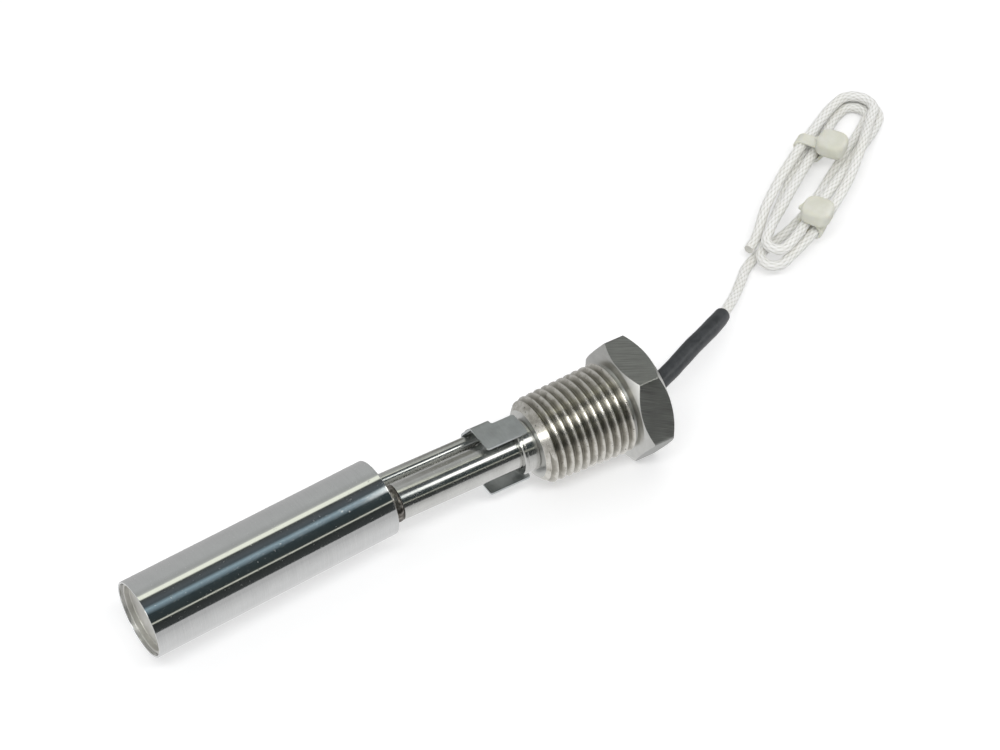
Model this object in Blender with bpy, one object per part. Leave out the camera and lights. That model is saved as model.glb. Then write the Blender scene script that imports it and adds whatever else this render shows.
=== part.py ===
"""Side-mount float level switch: a float on a hinged arm beside a reed-switch stem.

The stem lies along X, float at -X and cable at +X. The switch rests on one flat of its hex
and on the nose of its float, with +Z up. Everything is in metres. The stem's own frame is
rolled a few degrees about X from the hex flats, because the hinge was welded on that way.
"""

import math

import bmesh
import bpy
import numpy as np
from mathutils import Matrix, Vector

MM = 0.001

# Fits between neighbouring pieces
SEAT_GAP = 0.3 * MM
WORKING_GAP = 0.35 * MM

# Threaded plug with hex head
HEX_AF = 26.0 * MM
HEX_LENGTH = 8.1 * MM
HEX_CHAMFER_FLAT_SHARE = 0.985
HEX_CHAMFER_SLOPE = 0.73
THREAD_PITCH = 2.0 * MM
THREAD_TURNS = 10
THREAD_DEPTH = 1.05 * MM
THREAD_NOSE_OD = 20.5 * MM
THREAD_HEX_OD = 22.1 * MM
NOSE_FACE_OD = 16.4 * MM
NOSE_CHAMFER = 1.9 * MM
RELIEF_LENGTH = 1.1 * MM
PLUG_BORE = 10.6 * MM

# Stem: collar, reed tube and its end plug
COLLAR_OD = 12.1 * MM
COLLAR_LENGTH = 3.8 * MM
COLLAR_SPIGOT = 6.0 * MM
COLLAR_EDGE = 0.35 * MM
TUBE_OD = 8.6 * MM
TUBE_WALL = 0.6 * MM
TUBE_REACH = 33.7 * MM
TUBE_IN_PLUG = 8.0 * MM
END_PLUG_LENGTH = 2.5 * MM
END_PLUG_ROUND = 0.9 * MM
END_PLUG_SPIGOT = 2.0 * MM
STEM_ROLL_DEG = -5.7

# Reed switch and its wiring
REED_GLASS_OD = 2.6 * MM
REED_GLASS_WALL = 0.4 * MM
REED_GLASS_LENGTH = 14.0 * MM
REED_WIRE_D = 0.5 * MM
REED_WIRE_OFFSET = 0.4 * MM
REED_OVERLAP = 1.6 * MM
REED_TAIL = 0.8 * MM
REED_SLEEVE_LENGTH = 22.0 * MM
JUMPER_THICKNESS = 0.5 * MM
JUMPER_WIDTH = 1.0 * MM
LEAD_WIRE_D = 0.6 * MM
LEAD_WIRE_OFFSET = 2.5 * MM
SPLICE_D = 1.6 * MM
SPLICE_LENGTH = 3.0 * MM
POTTING_LENGTH = 14.0 * MM
POTTING_RECESS = 0.6 * MM

# Hinge: bracket folded from sheet, pivot pin, arm rod
SHEET = 0.5 * MM
BEND_RADIUS = 0.6 * MM
ARM_TO_TUBE = 1.1 * MM
PIVOT_FROM_NOSE = 9.5 * MM
WALL_LENGTH = 4.7 * MM
FLAP_LENGTH = 10.4 * MM
FLAP_END_GAP = 1.2 * MM
FLAP_FRONT = 2.9 * MM
FLAP_RELIEF = 1.3 * MM
LOWER_FLAP_GAP = 1.05 * MM
STUD_D = 1.2 * MM
STUD_HEAD_D = 2.4 * MM
STUD_HEAD_HEIGHT = 0.4 * MM
WASHER_OD = 3.0 * MM
WASHER_THICKNESS = 0.3 * MM
ARM_D = 3.8 * MM
ARM_HEIGHT = 0.1 * MM

# Float
FLOAT_OD = 18.0 * MM
FLOAT_LENGTH = 59.8 * MM
FLOAT_WALL = 0.5 * MM
FLOAT_CAP_THICKNESS = 0.5 * MM
FLOAT_CAP_RECESS = 2.0 * MM
FLOAT_CAP_LIP = 1.3 * MM
FLOAT_SET_DEG = 0.5
FLOAT_YAW_DEG = 3.8
FLOAT_REAR_GAP = 0.5 * MM
FLOAT_SIDE = 2.4 * MM
FLOAT_RISE = 1.25 * MM
SOCKET_OD = 6.2 * MM
SOCKET_LENGTH = 2.4 * MM
MAGNET_D = 10.0 * MM
MAGNET_LENGTH = 5.0 * MM
MAGNET_FLOOR = 1.2 * MM

# Cable, its sleeve, hank and ties
CABLE_D = 2.5 * MM
SLEEVE_WALL = 0.5 * MM
SLEEVE_END_POINT = 7
HANK_CENTRE_X = 113.7 * MM
HANK_CENTRE_Y = 46.2 * MM
HANK_TURN_DEG = 33.6
HANK_RUN = 55.0 * MM
HANK_FIRST_HALF_WIDTH = 2.4 * MM
HANK_STEP = 3.05 * MM
HANK_STACK = 3.2 * MM
HANK_STACK_DEG = 120.0
HANK_WAIST = -0.2 * MM
HANK_TAPER = 5.3 * MM
HANK_TAPER_BOW = 1.8
HANK_NEAR_LEAST = 2.9 * MM
HANK_NEAR_REACH = 5.5 * MM
HANK_FAR_SHIFT = 0.9 * MM
HANK_LIFT = 3.2 * MM
HANK_CROSSING = -26.0 * MM
TIE_WIDTH = 3.4 * MM
TIE_THICKNESS = 0.7 * MM
TIE_HEAD_LENGTH = 7.4 * MM
TIE_HEAD_WIDTH = 7.6 * MM
TIE_HEAD_HEIGHT = 4.2 * MM
TIE_HEAD_BEVEL = 1.7 * MM
TIE_UPPER_AT = 5.5 * MM
TIE_UPPER_HEAD_SHARE = -0.5
TIE_UPPER_HEAD_DROP = 1.0 * MM
TIE_LOWER_AT = -19.0 * MM
TIE_LOWER_HEAD_SHARE = 0.7
TIE_LOWER_HEAD_DROP = 0.0 * MM

# Facets round a turn
FINE = 48
ROUND = 32
SMALL = 16
THREAD_FACETS = 36
THREAD_ROWS = 4

# Stations along the stem, from the plug's nose face at zero
SHANK_END = NOSE_CHAMFER + THREAD_PITCH * THREAD_TURNS
HEX_FRONT = SHANK_END + RELIEF_LENGTH
HEX_REAR = HEX_FRONT + HEX_LENGTH
COLLAR_FRONT = -COLLAR_LENGTH
TUBE_END = -TUBE_REACH
STEM_TIP = TUBE_END - SEAT_GAP - END_PLUG_LENGTH
SPIGOT_END = TUBE_END + END_PLUG_SPIGOT
FLOAT_REAR = STEM_TIP - FLOAT_REAR_GAP
PIVOT_X = -PIVOT_FROM_NOSE
AXIS_HEIGHT = HEX_AF / 2

# Radii and planes that neighbours share
TUBE_R = TUBE_OD / 2
TUBE_BORE_R = TUBE_R - TUBE_WALL
COLLAR_R = COLLAR_OD / 2
PLUG_BORE_R = PLUG_BORE / 2
WALL_INNER_Y = TUBE_R + SEAT_GAP
WALL_OUTER_Y = WALL_INNER_Y + SHEET
ARM_R = ARM_D / 2
ARM_Y = TUBE_R + ARM_TO_TUBE + ARM_R
STRAP_BORE_R = ARM_R + SEAT_GAP
STRAP_R = STRAP_BORE_R + SHEET
UPPER_FLAP_Z = COLLAR_R + WORKING_GAP + SHEET
LOWER_FLAP_Z = -(COLLAR_R + LOWER_FLAP_GAP + SHEET)
FLAP_RIGHT = -FLAP_END_GAP
FLAP_LEFT = FLAP_RIGHT - FLAP_LENGTH
WALL_RIGHT = FLAP_LEFT + WALL_LENGTH
ARM_RIGHT = WALL_RIGHT - SEAT_GAP
PIN_HOLE_R = STUD_D / 2 + SEAT_GAP
FLOAT_R = FLOAT_OD / 2
FLOAT_BORE_R = FLOAT_R - FLOAT_WALL
CAP_R = FLOAT_BORE_R - SEAT_GAP
CABLE_R = CABLE_D / 2
SLEEVE_BORE_R = CABLE_R + SEAT_GAP
SLEEVE_R = SLEEVE_BORE_R + SLEEVE_WALL
FLOAT_SET = math.radians(FLOAT_SET_DEG)
FLOAT_YAW = math.radians(FLOAT_YAW_DEG)
FLOAT_AXIS = Matrix.Rotation(FLOAT_YAW, 3, "Z") @ Matrix.Rotation(-FLOAT_SET, 3, "Y") @ Vector((1, 0, 0))
FLOAT_SLANT = math.hypot(FLOAT_AXIS.y, FLOAT_AXIS.z) / FLOAT_AXIS.x
STEM_ROLL = math.radians(STEM_ROLL_DEG)

# Route of the cable from the splices to the hank, chosen by hand, from the nose face and stem axis
SPLICE_LEFT = TUBE_IN_PLUG + 2.0 * MM
CABLE_START = SPLICE_LEFT + SPLICE_LENGTH + SEAT_GAP
CABLE_ROUTE = [
    (CABLE_START, 0.0, 0.0),
    (HEX_FRONT, 0.0, 0.0),
    (HEX_REAR - 1.0 * MM, 0.0, 0.0),
    (HEX_REAR + 3.0 * MM, 0.5 * MM, 0.0),
    (HEX_REAR + 7.5 * MM, 2.2 * MM, -0.2 * MM),
    (HEX_REAR + 18.5 * MM, 7.4 * MM, -1.0 * MM),
    (HEX_REAR + 25.5 * MM, 10.9 * MM, -2.4 * MM),
    (HEX_REAR + 31.5 * MM, 14.6 * MM, -4.2 * MM),
    (HEX_REAR + 39.1 * MM, 20.7 * MM, -7.6 * MM),
    (HEX_REAR + 45.8 * MM, 27.0 * MM, -10.6 * MM),
]
SLEEVE_START = HEX_REAR - 4.8 * MM

# Where the cable runs in under the hank, along and across the hank, from its centre
HANK_ENTRY = [
    (-36.5 * MM, 5.2 * MM),
    (-33.5 * MM, 5.0 * MM),
    (-28.0 * MM, 3.7 * MM),
    (-21.0 * MM, 1.3 * MM),
    (-13.0 * MM, -0.5 * MM),
    (-5.0 * MM, -1.4 * MM),
    (4.0 * MM, -1.7 * MM),
    (13.0 * MM, -2.0 * MM),
]
HANK_FREE_END = 0.6 * MM


def make_material(name, colour, roughness, metallic):
    material = bpy.data.materials.new(name)
    material.use_nodes = True
    shader = material.node_tree.nodes["Principled BSDF"]
    shader.inputs["Base Color"].default_value = (*colour, 1.0)
    shader.inputs["Roughness"].default_value = roughness
    shader.inputs["Metallic"].default_value = metallic
    material.diffuse_color = (*colour, 1.0)
    return material


def make_frame(name, parent, place=(0, 0, 0), turn=(0, 0, 0)):
    frame = bpy.data.objects.new(name, None)
    bpy.context.collection.objects.link(frame)
    frame.parent = parent
    frame.location = place
    frame.rotation_euler = turn
    return frame


def add_piece(name, mesh_or_curve, material, parent, place=(0, 0, 0)):
    piece = bpy.data.objects.new(name, mesh_or_curve)
    bpy.context.collection.objects.link(piece)
    piece.parent = parent
    piece.location = place
    mesh_or_curve.materials.append(material)
    return piece


def close_mesh(name, bm, smooth_deg=35.0):
    bmesh.ops.recalc_face_normals(bm, faces=bm.faces[:])
    mesh = bpy.data.meshes.new(name)
    bm.to_mesh(mesh)
    bm.free()
    mesh.shade_smooth()
    mesh.set_sharp_from_angle(angle=math.radians(smooth_deg))
    return mesh


def ring_mesh(name, rows):
    """A ring-shaped body round X from a closed series of rows of (x, radius), one per facet."""
    bm = bmesh.new()
    rings = []
    for row in rows:
        count = len(row)
        ring = []
        for i, (x, radius) in enumerate(row):
            turn = 2 * math.pi * i / count
            ring.append(bm.verts.new((x, radius * math.cos(turn), radius * math.sin(turn))))
        rings.append(ring)
    for a, b in zip(rings, rings[1:] + rings[:1]):
        for i in range(len(a)):
            j = (i + 1) % len(a)
            bm.faces.new((a[i], a[j], b[j], b[i]))
    return close_mesh(name, bm)


def turned_ring(name, profile, facets):
    """A turned piece with a bore: profile is its closed section as (x, radius) corners."""
    return ring_mesh(name, [[corner] * facets for corner in profile])


def turned_solid(name, profile, facets):
    """A turned piece with no bore: profile runs from one end of the axis to the other."""
    bm = bmesh.new()
    rings = []
    for x, radius in profile:
        ring = []
        for i in range(facets):
            turn = 2 * math.pi * i / facets
            ring.append(bm.verts.new((x, radius * math.cos(turn), radius * math.sin(turn))))
        rings.append(ring)
    for a, b in zip(rings, rings[1:]):
        for i in range(facets):
            j = (i + 1) % facets
            bm.faces.new((a[i], a[j], b[j], b[i]))
    bm.faces.new(rings[0])
    bm.faces.new(rings[-1])
    return close_mesh(name, bm)


def box_mesh(name, low, high):
    bm = bmesh.new()
    bmesh.ops.create_cube(bm, size=1.0)
    size = Vector(high) - Vector(low)
    centre = (Vector(high) + Vector(low)) / 2
    stretch = Matrix.Translation(centre) @ Matrix.Diagonal((*size, 1.0))
    bmesh.ops.transform(bm, matrix=stretch, verts=bm.verts[:])
    return close_mesh(name, bm)


def extruded_mesh(name, outline, x_low, x_high):
    """A prism along X from an outline of (y, z) corners."""
    bm = bmesh.new()
    low = [bm.verts.new((x_low, y, z)) for y, z in outline]
    high = [bm.verts.new((x_high, y, z)) for y, z in outline]
    bm.faces.new(low)
    bm.faces.new(high)
    for i in range(len(outline)):
        j = (i + 1) % len(outline)
        bm.faces.new((low[i], low[j], high[j], high[i]))
    return close_mesh(name, bm)


def cut_or_join(piece, tool_mesh, operation, label):
    """Applies a Boolean between a piece and a helper mesh in the same frame."""
    tool = bpy.data.objects.new(label, tool_mesh)
    bpy.context.collection.objects.link(tool)
    tool.parent = piece.parent
    tool.location = piece.location
    tool.hide_render = True
    tool.display_type = "WIRE"
    modifier = piece.modifiers.new(label, "BOOLEAN")
    modifier.operation = operation
    modifier.object = tool
    modifier.solver = "EXACT"


def arc(centre, radius, start_deg, end_deg, steps):
    points = []
    for i in range(steps + 1):
        turn = math.radians(start_deg + (end_deg - start_deg) * i / steps)
        points.append((centre[0] + radius * math.cos(turn), centre[1] + radius * math.sin(turn)))
    return points


def smooth_line(points, spacing):
    """Points at an even spacing on a smooth curve through the given ones."""
    points = np.array(points, float)
    padded = np.vstack([2 * points[0] - points[1], points, 2 * points[-1] - points[-2]])
    fine = []
    for a, b, c, d in zip(padded, padded[1:], padded[2:], padded[3:]):
        for t in np.arange(0, 1, 0.05):
            pull = 2 * b + (c - a) * t + (2 * a - 5 * b + 4 * c - d) * t**2 + (3 * b - a - 3 * c + d) * t**3
            fine.append(pull / 2)
    fine = np.array(fine + [points[-1]])
    along = np.concatenate([[0], np.cumsum(np.linalg.norm(np.diff(fine, axis=0), axis=1))])
    at = np.linspace(0, along[-1], max(2, round(along[-1] / spacing) + 1))
    return np.stack([np.interp(at, along, fine[:, k]) for k in range(3)], axis=1)


def tube_curve(name, points, diameter, resolution):
    curve = bpy.data.curves.new(name, "CURVE")
    curve.dimensions = "3D"
    curve.bevel_depth = diameter / 2
    curve.bevel_resolution = resolution
    curve.use_fill_caps = True
    spline = curve.splines.new("POLY")
    spline.points.add(len(points) - 1)
    for point, place in zip(spline.points, points):
        point.co = (*place, 1.0)
    return curve


def make_plug(parent, steel):
    """The plug: nose chamfer, tapered helical thread, relief, chamfered hex and a through bore."""
    turns = np.arange(THREAD_FACETS) / THREAD_FACETS
    rows = [[(0.0, PLUG_BORE_R)] * THREAD_FACETS, [(0.0, NOSE_FACE_OD / 2)] * THREAD_FACETS]
    for k in range(THREAD_ROWS * THREAD_TURNS + 1):
        share = k / (THREAD_ROWS * THREAD_TURNS)
        x = NOSE_CHAMFER + share * THREAD_PITCH * THREAD_TURNS
        crest = (THREAD_NOSE_OD + share * (THREAD_HEX_OD - THREAD_NOSE_OD)) / 2
        phase = np.mod(x / THREAD_PITCH - turns, 1.0)
        height = 1 - np.abs(2 * phase - 1)
        rows.append([(x, crest - THREAD_DEPTH * (1 - h)) for h in height])
    relief = THREAD_HEX_OD / 2 - THREAD_DEPTH
    rows.append([(SHANK_END + RELIEF_LENGTH / 4, relief)] * THREAD_FACETS)
    rows.append([(HEX_FRONT, relief)] * THREAD_FACETS)
    angles = 2 * math.pi * turns
    sector = np.mod(angles, math.pi / 3) - math.pi / 6
    hex_radius = HEX_AF / 2 / np.cos(sector)
    face_radius = HEX_AF / 2 * HEX_CHAMFER_FLAT_SHARE
    drop = (hex_radius - face_radius) * HEX_CHAMFER_SLOPE
    rows.append([(HEX_FRONT, face_radius)] * THREAD_FACETS)
    rows.append([(HEX_FRONT + d, r) for d, r in zip(drop, hex_radius)])
    rows.append([(HEX_REAR - d, r) for d, r in zip(drop, hex_radius)])
    rows.append([(HEX_REAR, face_radius)] * THREAD_FACETS)
    rows.append([(HEX_REAR, PLUG_BORE_R)] * THREAD_FACETS)
    add_piece("plug_body", ring_mesh("plug_body", rows), steel, parent)


def make_stem(parent, steel, weld_steel):
    spigot_r = PLUG_BORE_R - SEAT_GAP
    bore_r = TUBE_R + SEAT_GAP
    collar = [
        (COLLAR_FRONT, bore_r),
        (COLLAR_FRONT, COLLAR_R - COLLAR_EDGE),
        (COLLAR_FRONT + COLLAR_EDGE, COLLAR_R),
        (-SEAT_GAP, COLLAR_R),
        (-SEAT_GAP, spigot_r),
        (COLLAR_SPIGOT, spigot_r),
        (COLLAR_SPIGOT, bore_r),
    ]
    add_piece("stem_collar", turned_ring("stem_collar", collar, FINE), steel, parent)
    tube = [(TUBE_END, TUBE_BORE_R), (TUBE_END, TUBE_R), (TUBE_IN_PLUG, TUBE_R), (TUBE_IN_PLUG, TUBE_BORE_R)]
    add_piece("stem_tube", turned_ring("stem_tube", tube, FINE), steel, parent)
    shoulder = TUBE_END - SEAT_GAP
    rounding = arc((STEM_TIP + END_PLUG_ROUND, TUBE_R - END_PLUG_ROUND), END_PLUG_ROUND, 180, 90, 4)
    spigot = TUBE_BORE_R - SEAT_GAP
    tip = rounding + [(shoulder, TUBE_R), (shoulder, spigot), (SPIGOT_END, spigot)]
    add_piece("stem_end_plug", turned_solid("stem_end_plug", tip, FINE), weld_steel, parent)


def make_reed(parent, glass, contact, plastic, wire_cover):
    """The reed switch in its insulating sleeve, with a jumper that brings its far end back."""
    jumper_left = SPIGOT_END + SEAT_GAP
    wire_start = jumper_left + JUMPER_THICKNESS + SEAT_GAP
    glass_left = wire_start + REED_TAIL
    glass_right = glass_left + REED_GLASS_LENGTH
    middle = (glass_left + glass_right) / 2
    glass_r = REED_GLASS_OD / 2
    bore = glass_r - REED_GLASS_WALL
    capsule = [(glass_left, bore), (glass_left, glass_r), (glass_right, glass_r), (glass_right, bore)]
    add_piece("reed_glass", turned_ring("reed_glass", capsule, SMALL), glass, parent)
    wire_r = REED_WIRE_D / 2
    blade_b_end = glass_right + REED_TAIL
    blades = (
        ("reed_blade_a", wire_start, middle + REED_OVERLAP / 2, REED_WIRE_OFFSET),
        ("reed_blade_b", middle - REED_OVERLAP / 2, blade_b_end, -REED_WIRE_OFFSET),
    )
    for name, low, high, offset in blades:
        rod = turned_solid(name, [(low, wire_r), (high, wire_r)], SMALL)
        add_piece(name, rod, contact, parent, (0, 0, offset))
    sleeve_r = TUBE_BORE_R - SEAT_GAP
    sleeve_bore = glass_r + SEAT_GAP
    sleeve_right = wire_start + REED_SLEEVE_LENGTH
    section = [
        (wire_start, sleeve_bore),
        (wire_start, sleeve_r),
        (sleeve_right, sleeve_r),
        (sleeve_right, sleeve_bore),
    ]
    sleeve = add_piece("reed_sleeve", turned_ring("reed_sleeve", section, ROUND), plastic, parent)
    channel_r = LEAD_WIRE_D / 2 + SEAT_GAP
    cut = [(wire_start - MM, channel_r), (sleeve_right + MM, channel_r)]
    channel = turned_solid("reed_channel", cut, SMALL)
    channel.transform(Matrix.Translation((0, 0, -LEAD_WIRE_OFFSET)))
    cut_or_join(sleeve, channel, "DIFFERENCE", "reed_channel")
    jumper_low = (jumper_left, -JUMPER_WIDTH / 2, -LEAD_WIRE_OFFSET - LEAD_WIRE_D / 2)
    jumper_high = (jumper_left + JUMPER_THICKNESS, JUMPER_WIDTH / 2, REED_WIRE_OFFSET + wire_r)
    add_piece("reed_jumper", box_mesh("reed_jumper", jumper_low, jumper_high), contact, parent)
    lead_r = LEAD_WIRE_D / 2
    lead_end = SPLICE_LEFT - SEAT_GAP
    leads = (
        ("lead_wire_a", wire_start, -LEAD_WIRE_OFFSET),
        ("lead_wire_b", blade_b_end + SEAT_GAP, -REED_WIRE_OFFSET),
    )
    for name, low, offset in leads:
        wire = turned_solid(name, [(low, lead_r), (lead_end, lead_r)], SMALL)
        add_piece(name, wire, wire_cover, parent, (0, 0, offset))
    for name, offset in (("splice_a", -LEAD_WIRE_OFFSET), ("splice_b", -REED_WIRE_OFFSET)):
        ends = [(SPLICE_LEFT, SPLICE_D / 2), (SPLICE_LEFT + SPLICE_LENGTH, SPLICE_D / 2)]
        splice = turned_solid(name, ends, SMALL)
        add_piece(name, splice, contact, parent, (0, 0, offset))


def make_potting(parent, resin):
    """Resin in the plug's rear bore, stepped where the cable's sleeve starts."""
    outer = PLUG_BORE_R - SEAT_GAP
    rear = HEX_REAR - POTTING_RECESS
    step = SLEEVE_START - SEAT_GAP
    section = [
        (rear - POTTING_LENGTH, CABLE_R + SEAT_GAP),
        (rear - POTTING_LENGTH, outer),
        (rear, outer),
        (rear, SLEEVE_R + SEAT_GAP),
        (step, SLEEVE_R + SEAT_GAP),
        (step, CABLE_R + SEAT_GAP),
    ]
    add_piece("potting_plug", turned_ring("potting_plug", section, ROUND), resin, parent)


def across(mesh):
    """Turns a piece made along X so that it lies along Y."""
    mesh.transform(Matrix.Rotation(math.pi / 2, 4, "Z"))
    return mesh


def make_pivot(parent, steel):
    """The pin on the tube's far side, through the arm and the strap, and a washer inside the arm."""
    place = (PIVOT_X, 0, 0)
    stud_r = STUD_D / 2
    head_low = ARM_Y + STRAP_R + SEAT_GAP
    head_r = STUD_HEAD_D / 2
    profile = [
        (TUBE_R + SEAT_GAP, stud_r),
        (head_low, stud_r),
        (head_low, head_r),
        (head_low + STUD_HEAD_HEIGHT / 2, head_r),
        (head_low + STUD_HEAD_HEIGHT, head_r / 2),
    ]
    add_piece("pivot_stud", across(turned_solid("pivot_stud", profile, ROUND)), steel, parent, place)
    washer_low = TUBE_R + (ARM_TO_TUBE - WASHER_THICKNESS) / 2
    washer_high = washer_low + WASHER_THICKNESS
    rim = WASHER_OD / 2
    ring = [(washer_low, PIN_HOLE_R), (washer_low, rim), (washer_high, rim), (washer_high, PIN_HOLE_R)]
    add_piece("pivot_washer", across(turned_ring("pivot_washer", ring, ROUND)), steel, parent, place)


def pin_hole(name, x):
    hole = across(turned_solid(name, [(0, PIN_HOLE_R), (2 * ARM_Y, PIN_HOLE_R)], ROUND))
    hole.transform(Matrix.Translation((x, 0, 0)))
    return hole


def strap_bend(flap_z, inward):
    """The bend between a flap and the slanted strap: its centre and the strap's normal in degrees."""
    run, drop = ARM_Y - WALL_OUTER_Y, inward * (flap_z - ARM_HEIGHT)
    slant = math.asin(STRAP_R / math.hypot(run, drop)) - math.atan2(drop, run) + math.pi / 2
    outer = BEND_RADIUS + SHEET
    back = outer * (1 - math.sin(slant)) / math.cos(slant)
    return (WALL_OUTER_Y - back, flap_z - inward * outer), inward * math.degrees(slant)


def make_bracket(parent, sheet_steel):
    """The hinge bracket: two flaps that stop on the collar, joined by a strap round the arm's back."""
    inner = BEND_RADIUS
    outer = BEND_RADIUS + SHEET
    top, top_deg = strap_bend(UPPER_FLAP_Z, 1)
    low, low_deg = strap_bend(LOWER_FLAP_Z, -1)
    nose = (ARM_Y, ARM_HEIGHT)
    outline = [(-FLAP_FRONT, UPPER_FLAP_Z)]
    outline += arc(top, outer, 90, top_deg, 4)
    outline += arc(nose, STRAP_R, top_deg, low_deg, 8)
    outline += arc(low, outer, low_deg, -90, 4)
    outline += [(-FLAP_FRONT, LOWER_FLAP_Z), (-FLAP_FRONT, LOWER_FLAP_Z + SHEET)]
    outline += arc(low, inner, -90, low_deg, 4)
    outline += arc(nose, STRAP_BORE_R, low_deg, top_deg, 8)
    outline += arc(top, inner, top_deg, 90, 4)
    outline += [(-FLAP_FRONT, UPPER_FLAP_Z - SHEET)]
    place = (-PIVOT_X, 0, 0)
    mesh = extruded_mesh("hinge_bracket", outline, FLAP_LEFT, FLAP_RIGHT)
    bracket = add_piece("hinge_bracket", mesh, sheet_steel, parent, place)
    clear = 2 * (UPPER_FLAP_Z - LOWER_FLAP_Z)
    relief_low = (WALL_RIGHT, WALL_OUTER_Y - FLAP_RELIEF, -clear)
    cut_or_join(bracket, box_mesh("strap_end", relief_low, (clear, clear, clear)), "DIFFERENCE", "strap_end")
    cut_or_join(bracket, pin_hole("strap_hole", PIVOT_X), "DIFFERENCE", "strap_hole")


def rear_cap_face(y, z, radius):
    """How far right the float's rear cap face reaches within a radius of a point across the stem."""
    off_axis = (y - FLOAT_SIDE) * FLOAT_AXIS.y + (z - FLOAT_RISE) * FLOAT_AXIS.z
    return FLOAT_REAR - (FLOAT_CAP_RECESS + off_axis) / FLOAT_AXIS.x + radius * FLOAT_SLANT


def make_arm(parent, steel):
    """The arm rod, cross-drilled for the pin, from the strap to a socket on the float's rear cap."""
    socket_r = SOCKET_OD / 2
    socket_left = rear_cap_face(ARM_Y, ARM_HEIGHT, socket_r) + SEAT_GAP
    arm_left = rear_cap_face(ARM_Y, ARM_HEIGHT, ARM_R) + SEAT_GAP
    place = (-PIVOT_X, ARM_Y, ARM_HEIGHT)
    edge = ARM_R / 8
    rod = [
        (arm_left, ARM_R),
        (ARM_RIGHT - edge, ARM_R),
        (ARM_RIGHT, ARM_R - edge),
    ]
    arm = add_piece("float_arm", turned_solid("float_arm", rod, ROUND), steel, parent, place)
    hole = pin_hole("arm_hole", PIVOT_X)
    hole.transform(Matrix.Translation((0, -ARM_Y, -ARM_HEIGHT)))
    cut_or_join(arm, hole, "DIFFERENCE", "arm_hole")
    bore = ARM_R + SEAT_GAP
    socket_right = socket_left + SOCKET_LENGTH
    ring = [
        (socket_left, bore),
        (socket_left, socket_r),
        (socket_right - SOCKET_LENGTH / 2, socket_r),
        (socket_right, bore + SEAT_GAP),
        (socket_right, bore),
    ]
    add_piece("arm_socket", turned_ring("arm_socket", ring, ROUND), steel, parent, place)


def make_caps(parent, steel):
    """Two caps set into the shell's ends: a dished one at the nose and a flat one behind."""
    nose = FLOAT_CAP_RECESS - FLOAT_LENGTH
    lip = nose - FLOAT_CAP_LIP
    inside = CAP_R - FLOAT_CAP_THICKNESS
    dish = [(nose + FLOAT_CAP_THICKNESS, CAP_R), (lip, CAP_R), (lip, inside), (nose, inside)]
    add_piece("float_front_cap", turned_solid("float_front_cap", dish, FINE), steel, parent)
    disc = [(-FLOAT_CAP_RECESS, CAP_R), (-FLOAT_CAP_RECESS - FLOAT_CAP_THICKNESS, CAP_R)]
    add_piece("float_rear_cap", turned_solid("float_rear_cap", disc, FINE), steel, parent)


def make_float(parent, polished, magnet_metal, plastic):
    """The float in its own frame: rear plane at zero, nose at -FLOAT_LENGTH."""
    shell = [(0.0, FLOAT_BORE_R), (0.0, FLOAT_R), (-FLOAT_LENGTH, FLOAT_R), (-FLOAT_LENGTH, FLOAT_BORE_R)]
    add_piece("float_shell", turned_ring("float_shell", shell, FINE), polished, parent)
    make_caps(parent, polished)
    holder_rear = -FLOAT_CAP_RECESS - FLOAT_CAP_THICKNESS - SEAT_GAP
    pocket = holder_rear - MAGNET_FLOOR
    holder_front = pocket - SEAT_GAP - MAGNET_LENGTH
    pocket_r = MAGNET_D / 2 + SEAT_GAP
    holder = [
        (holder_rear, CAP_R),
        (holder_front, CAP_R),
        (holder_front, pocket_r),
        (pocket, pocket_r),
    ]
    add_piece("magnet_holder", turned_solid("magnet_holder", holder, FINE), plastic, parent)
    magnet_r = MAGNET_D / 2
    magnet_rear = pocket - SEAT_GAP
    magnet = [(magnet_rear, magnet_r), (magnet_rear - MAGNET_LENGTH, magnet_r)]
    add_piece("float_magnet", turned_solid("float_magnet", magnet, ROUND), magnet_metal, parent)


def hank_place(along, side, height):
    """A point of the hank's own plan, as a point from the nose face and stem axis."""
    turn = math.radians(HANK_TURN_DEG)
    x = HANK_CENTRE_X + along * math.cos(turn) - side * math.sin(turn)
    y = HANK_CENTRE_Y + along * math.sin(turn) + side * math.cos(turn)
    return (x, y, height - AXIS_HEIGHT)


def hank_height(along):
    """The tied loops lie on the floor at their far end and on the incoming cable at the near one."""
    far = HANK_RUN / 2 + HANK_FIRST_HALF_WIDTH + 2 * HANK_STEP
    share = (far - along) / (far - HANK_CROSSING)
    return CABLE_R + HANK_LIFT * min(1.0, max(0.0, share))


def hank_near_width(turns):
    return max(HANK_NEAR_LEAST, HANK_FIRST_HALF_WIDTH + HANK_STEP * turns - HANK_TAPER)


def hank_run_width(turns, share):
    """Half the width of a loop, at a share of its run from the near end to the far one."""
    half_width = HANK_FIRST_HALF_WIDTH + HANK_STEP * turns
    return half_width - (half_width - hank_near_width(turns)) * (1 - share) ** HANK_TAPER_BOW


def hank_rise(turns, share):
    """How far a loop is lifted to lie on the next one out, where the two draw together."""
    apart = hank_run_width(turns + 1, share) - hank_run_width(turns, share)
    return math.sqrt(max(0.0, HANK_STEP**2 - apart**2))


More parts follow.
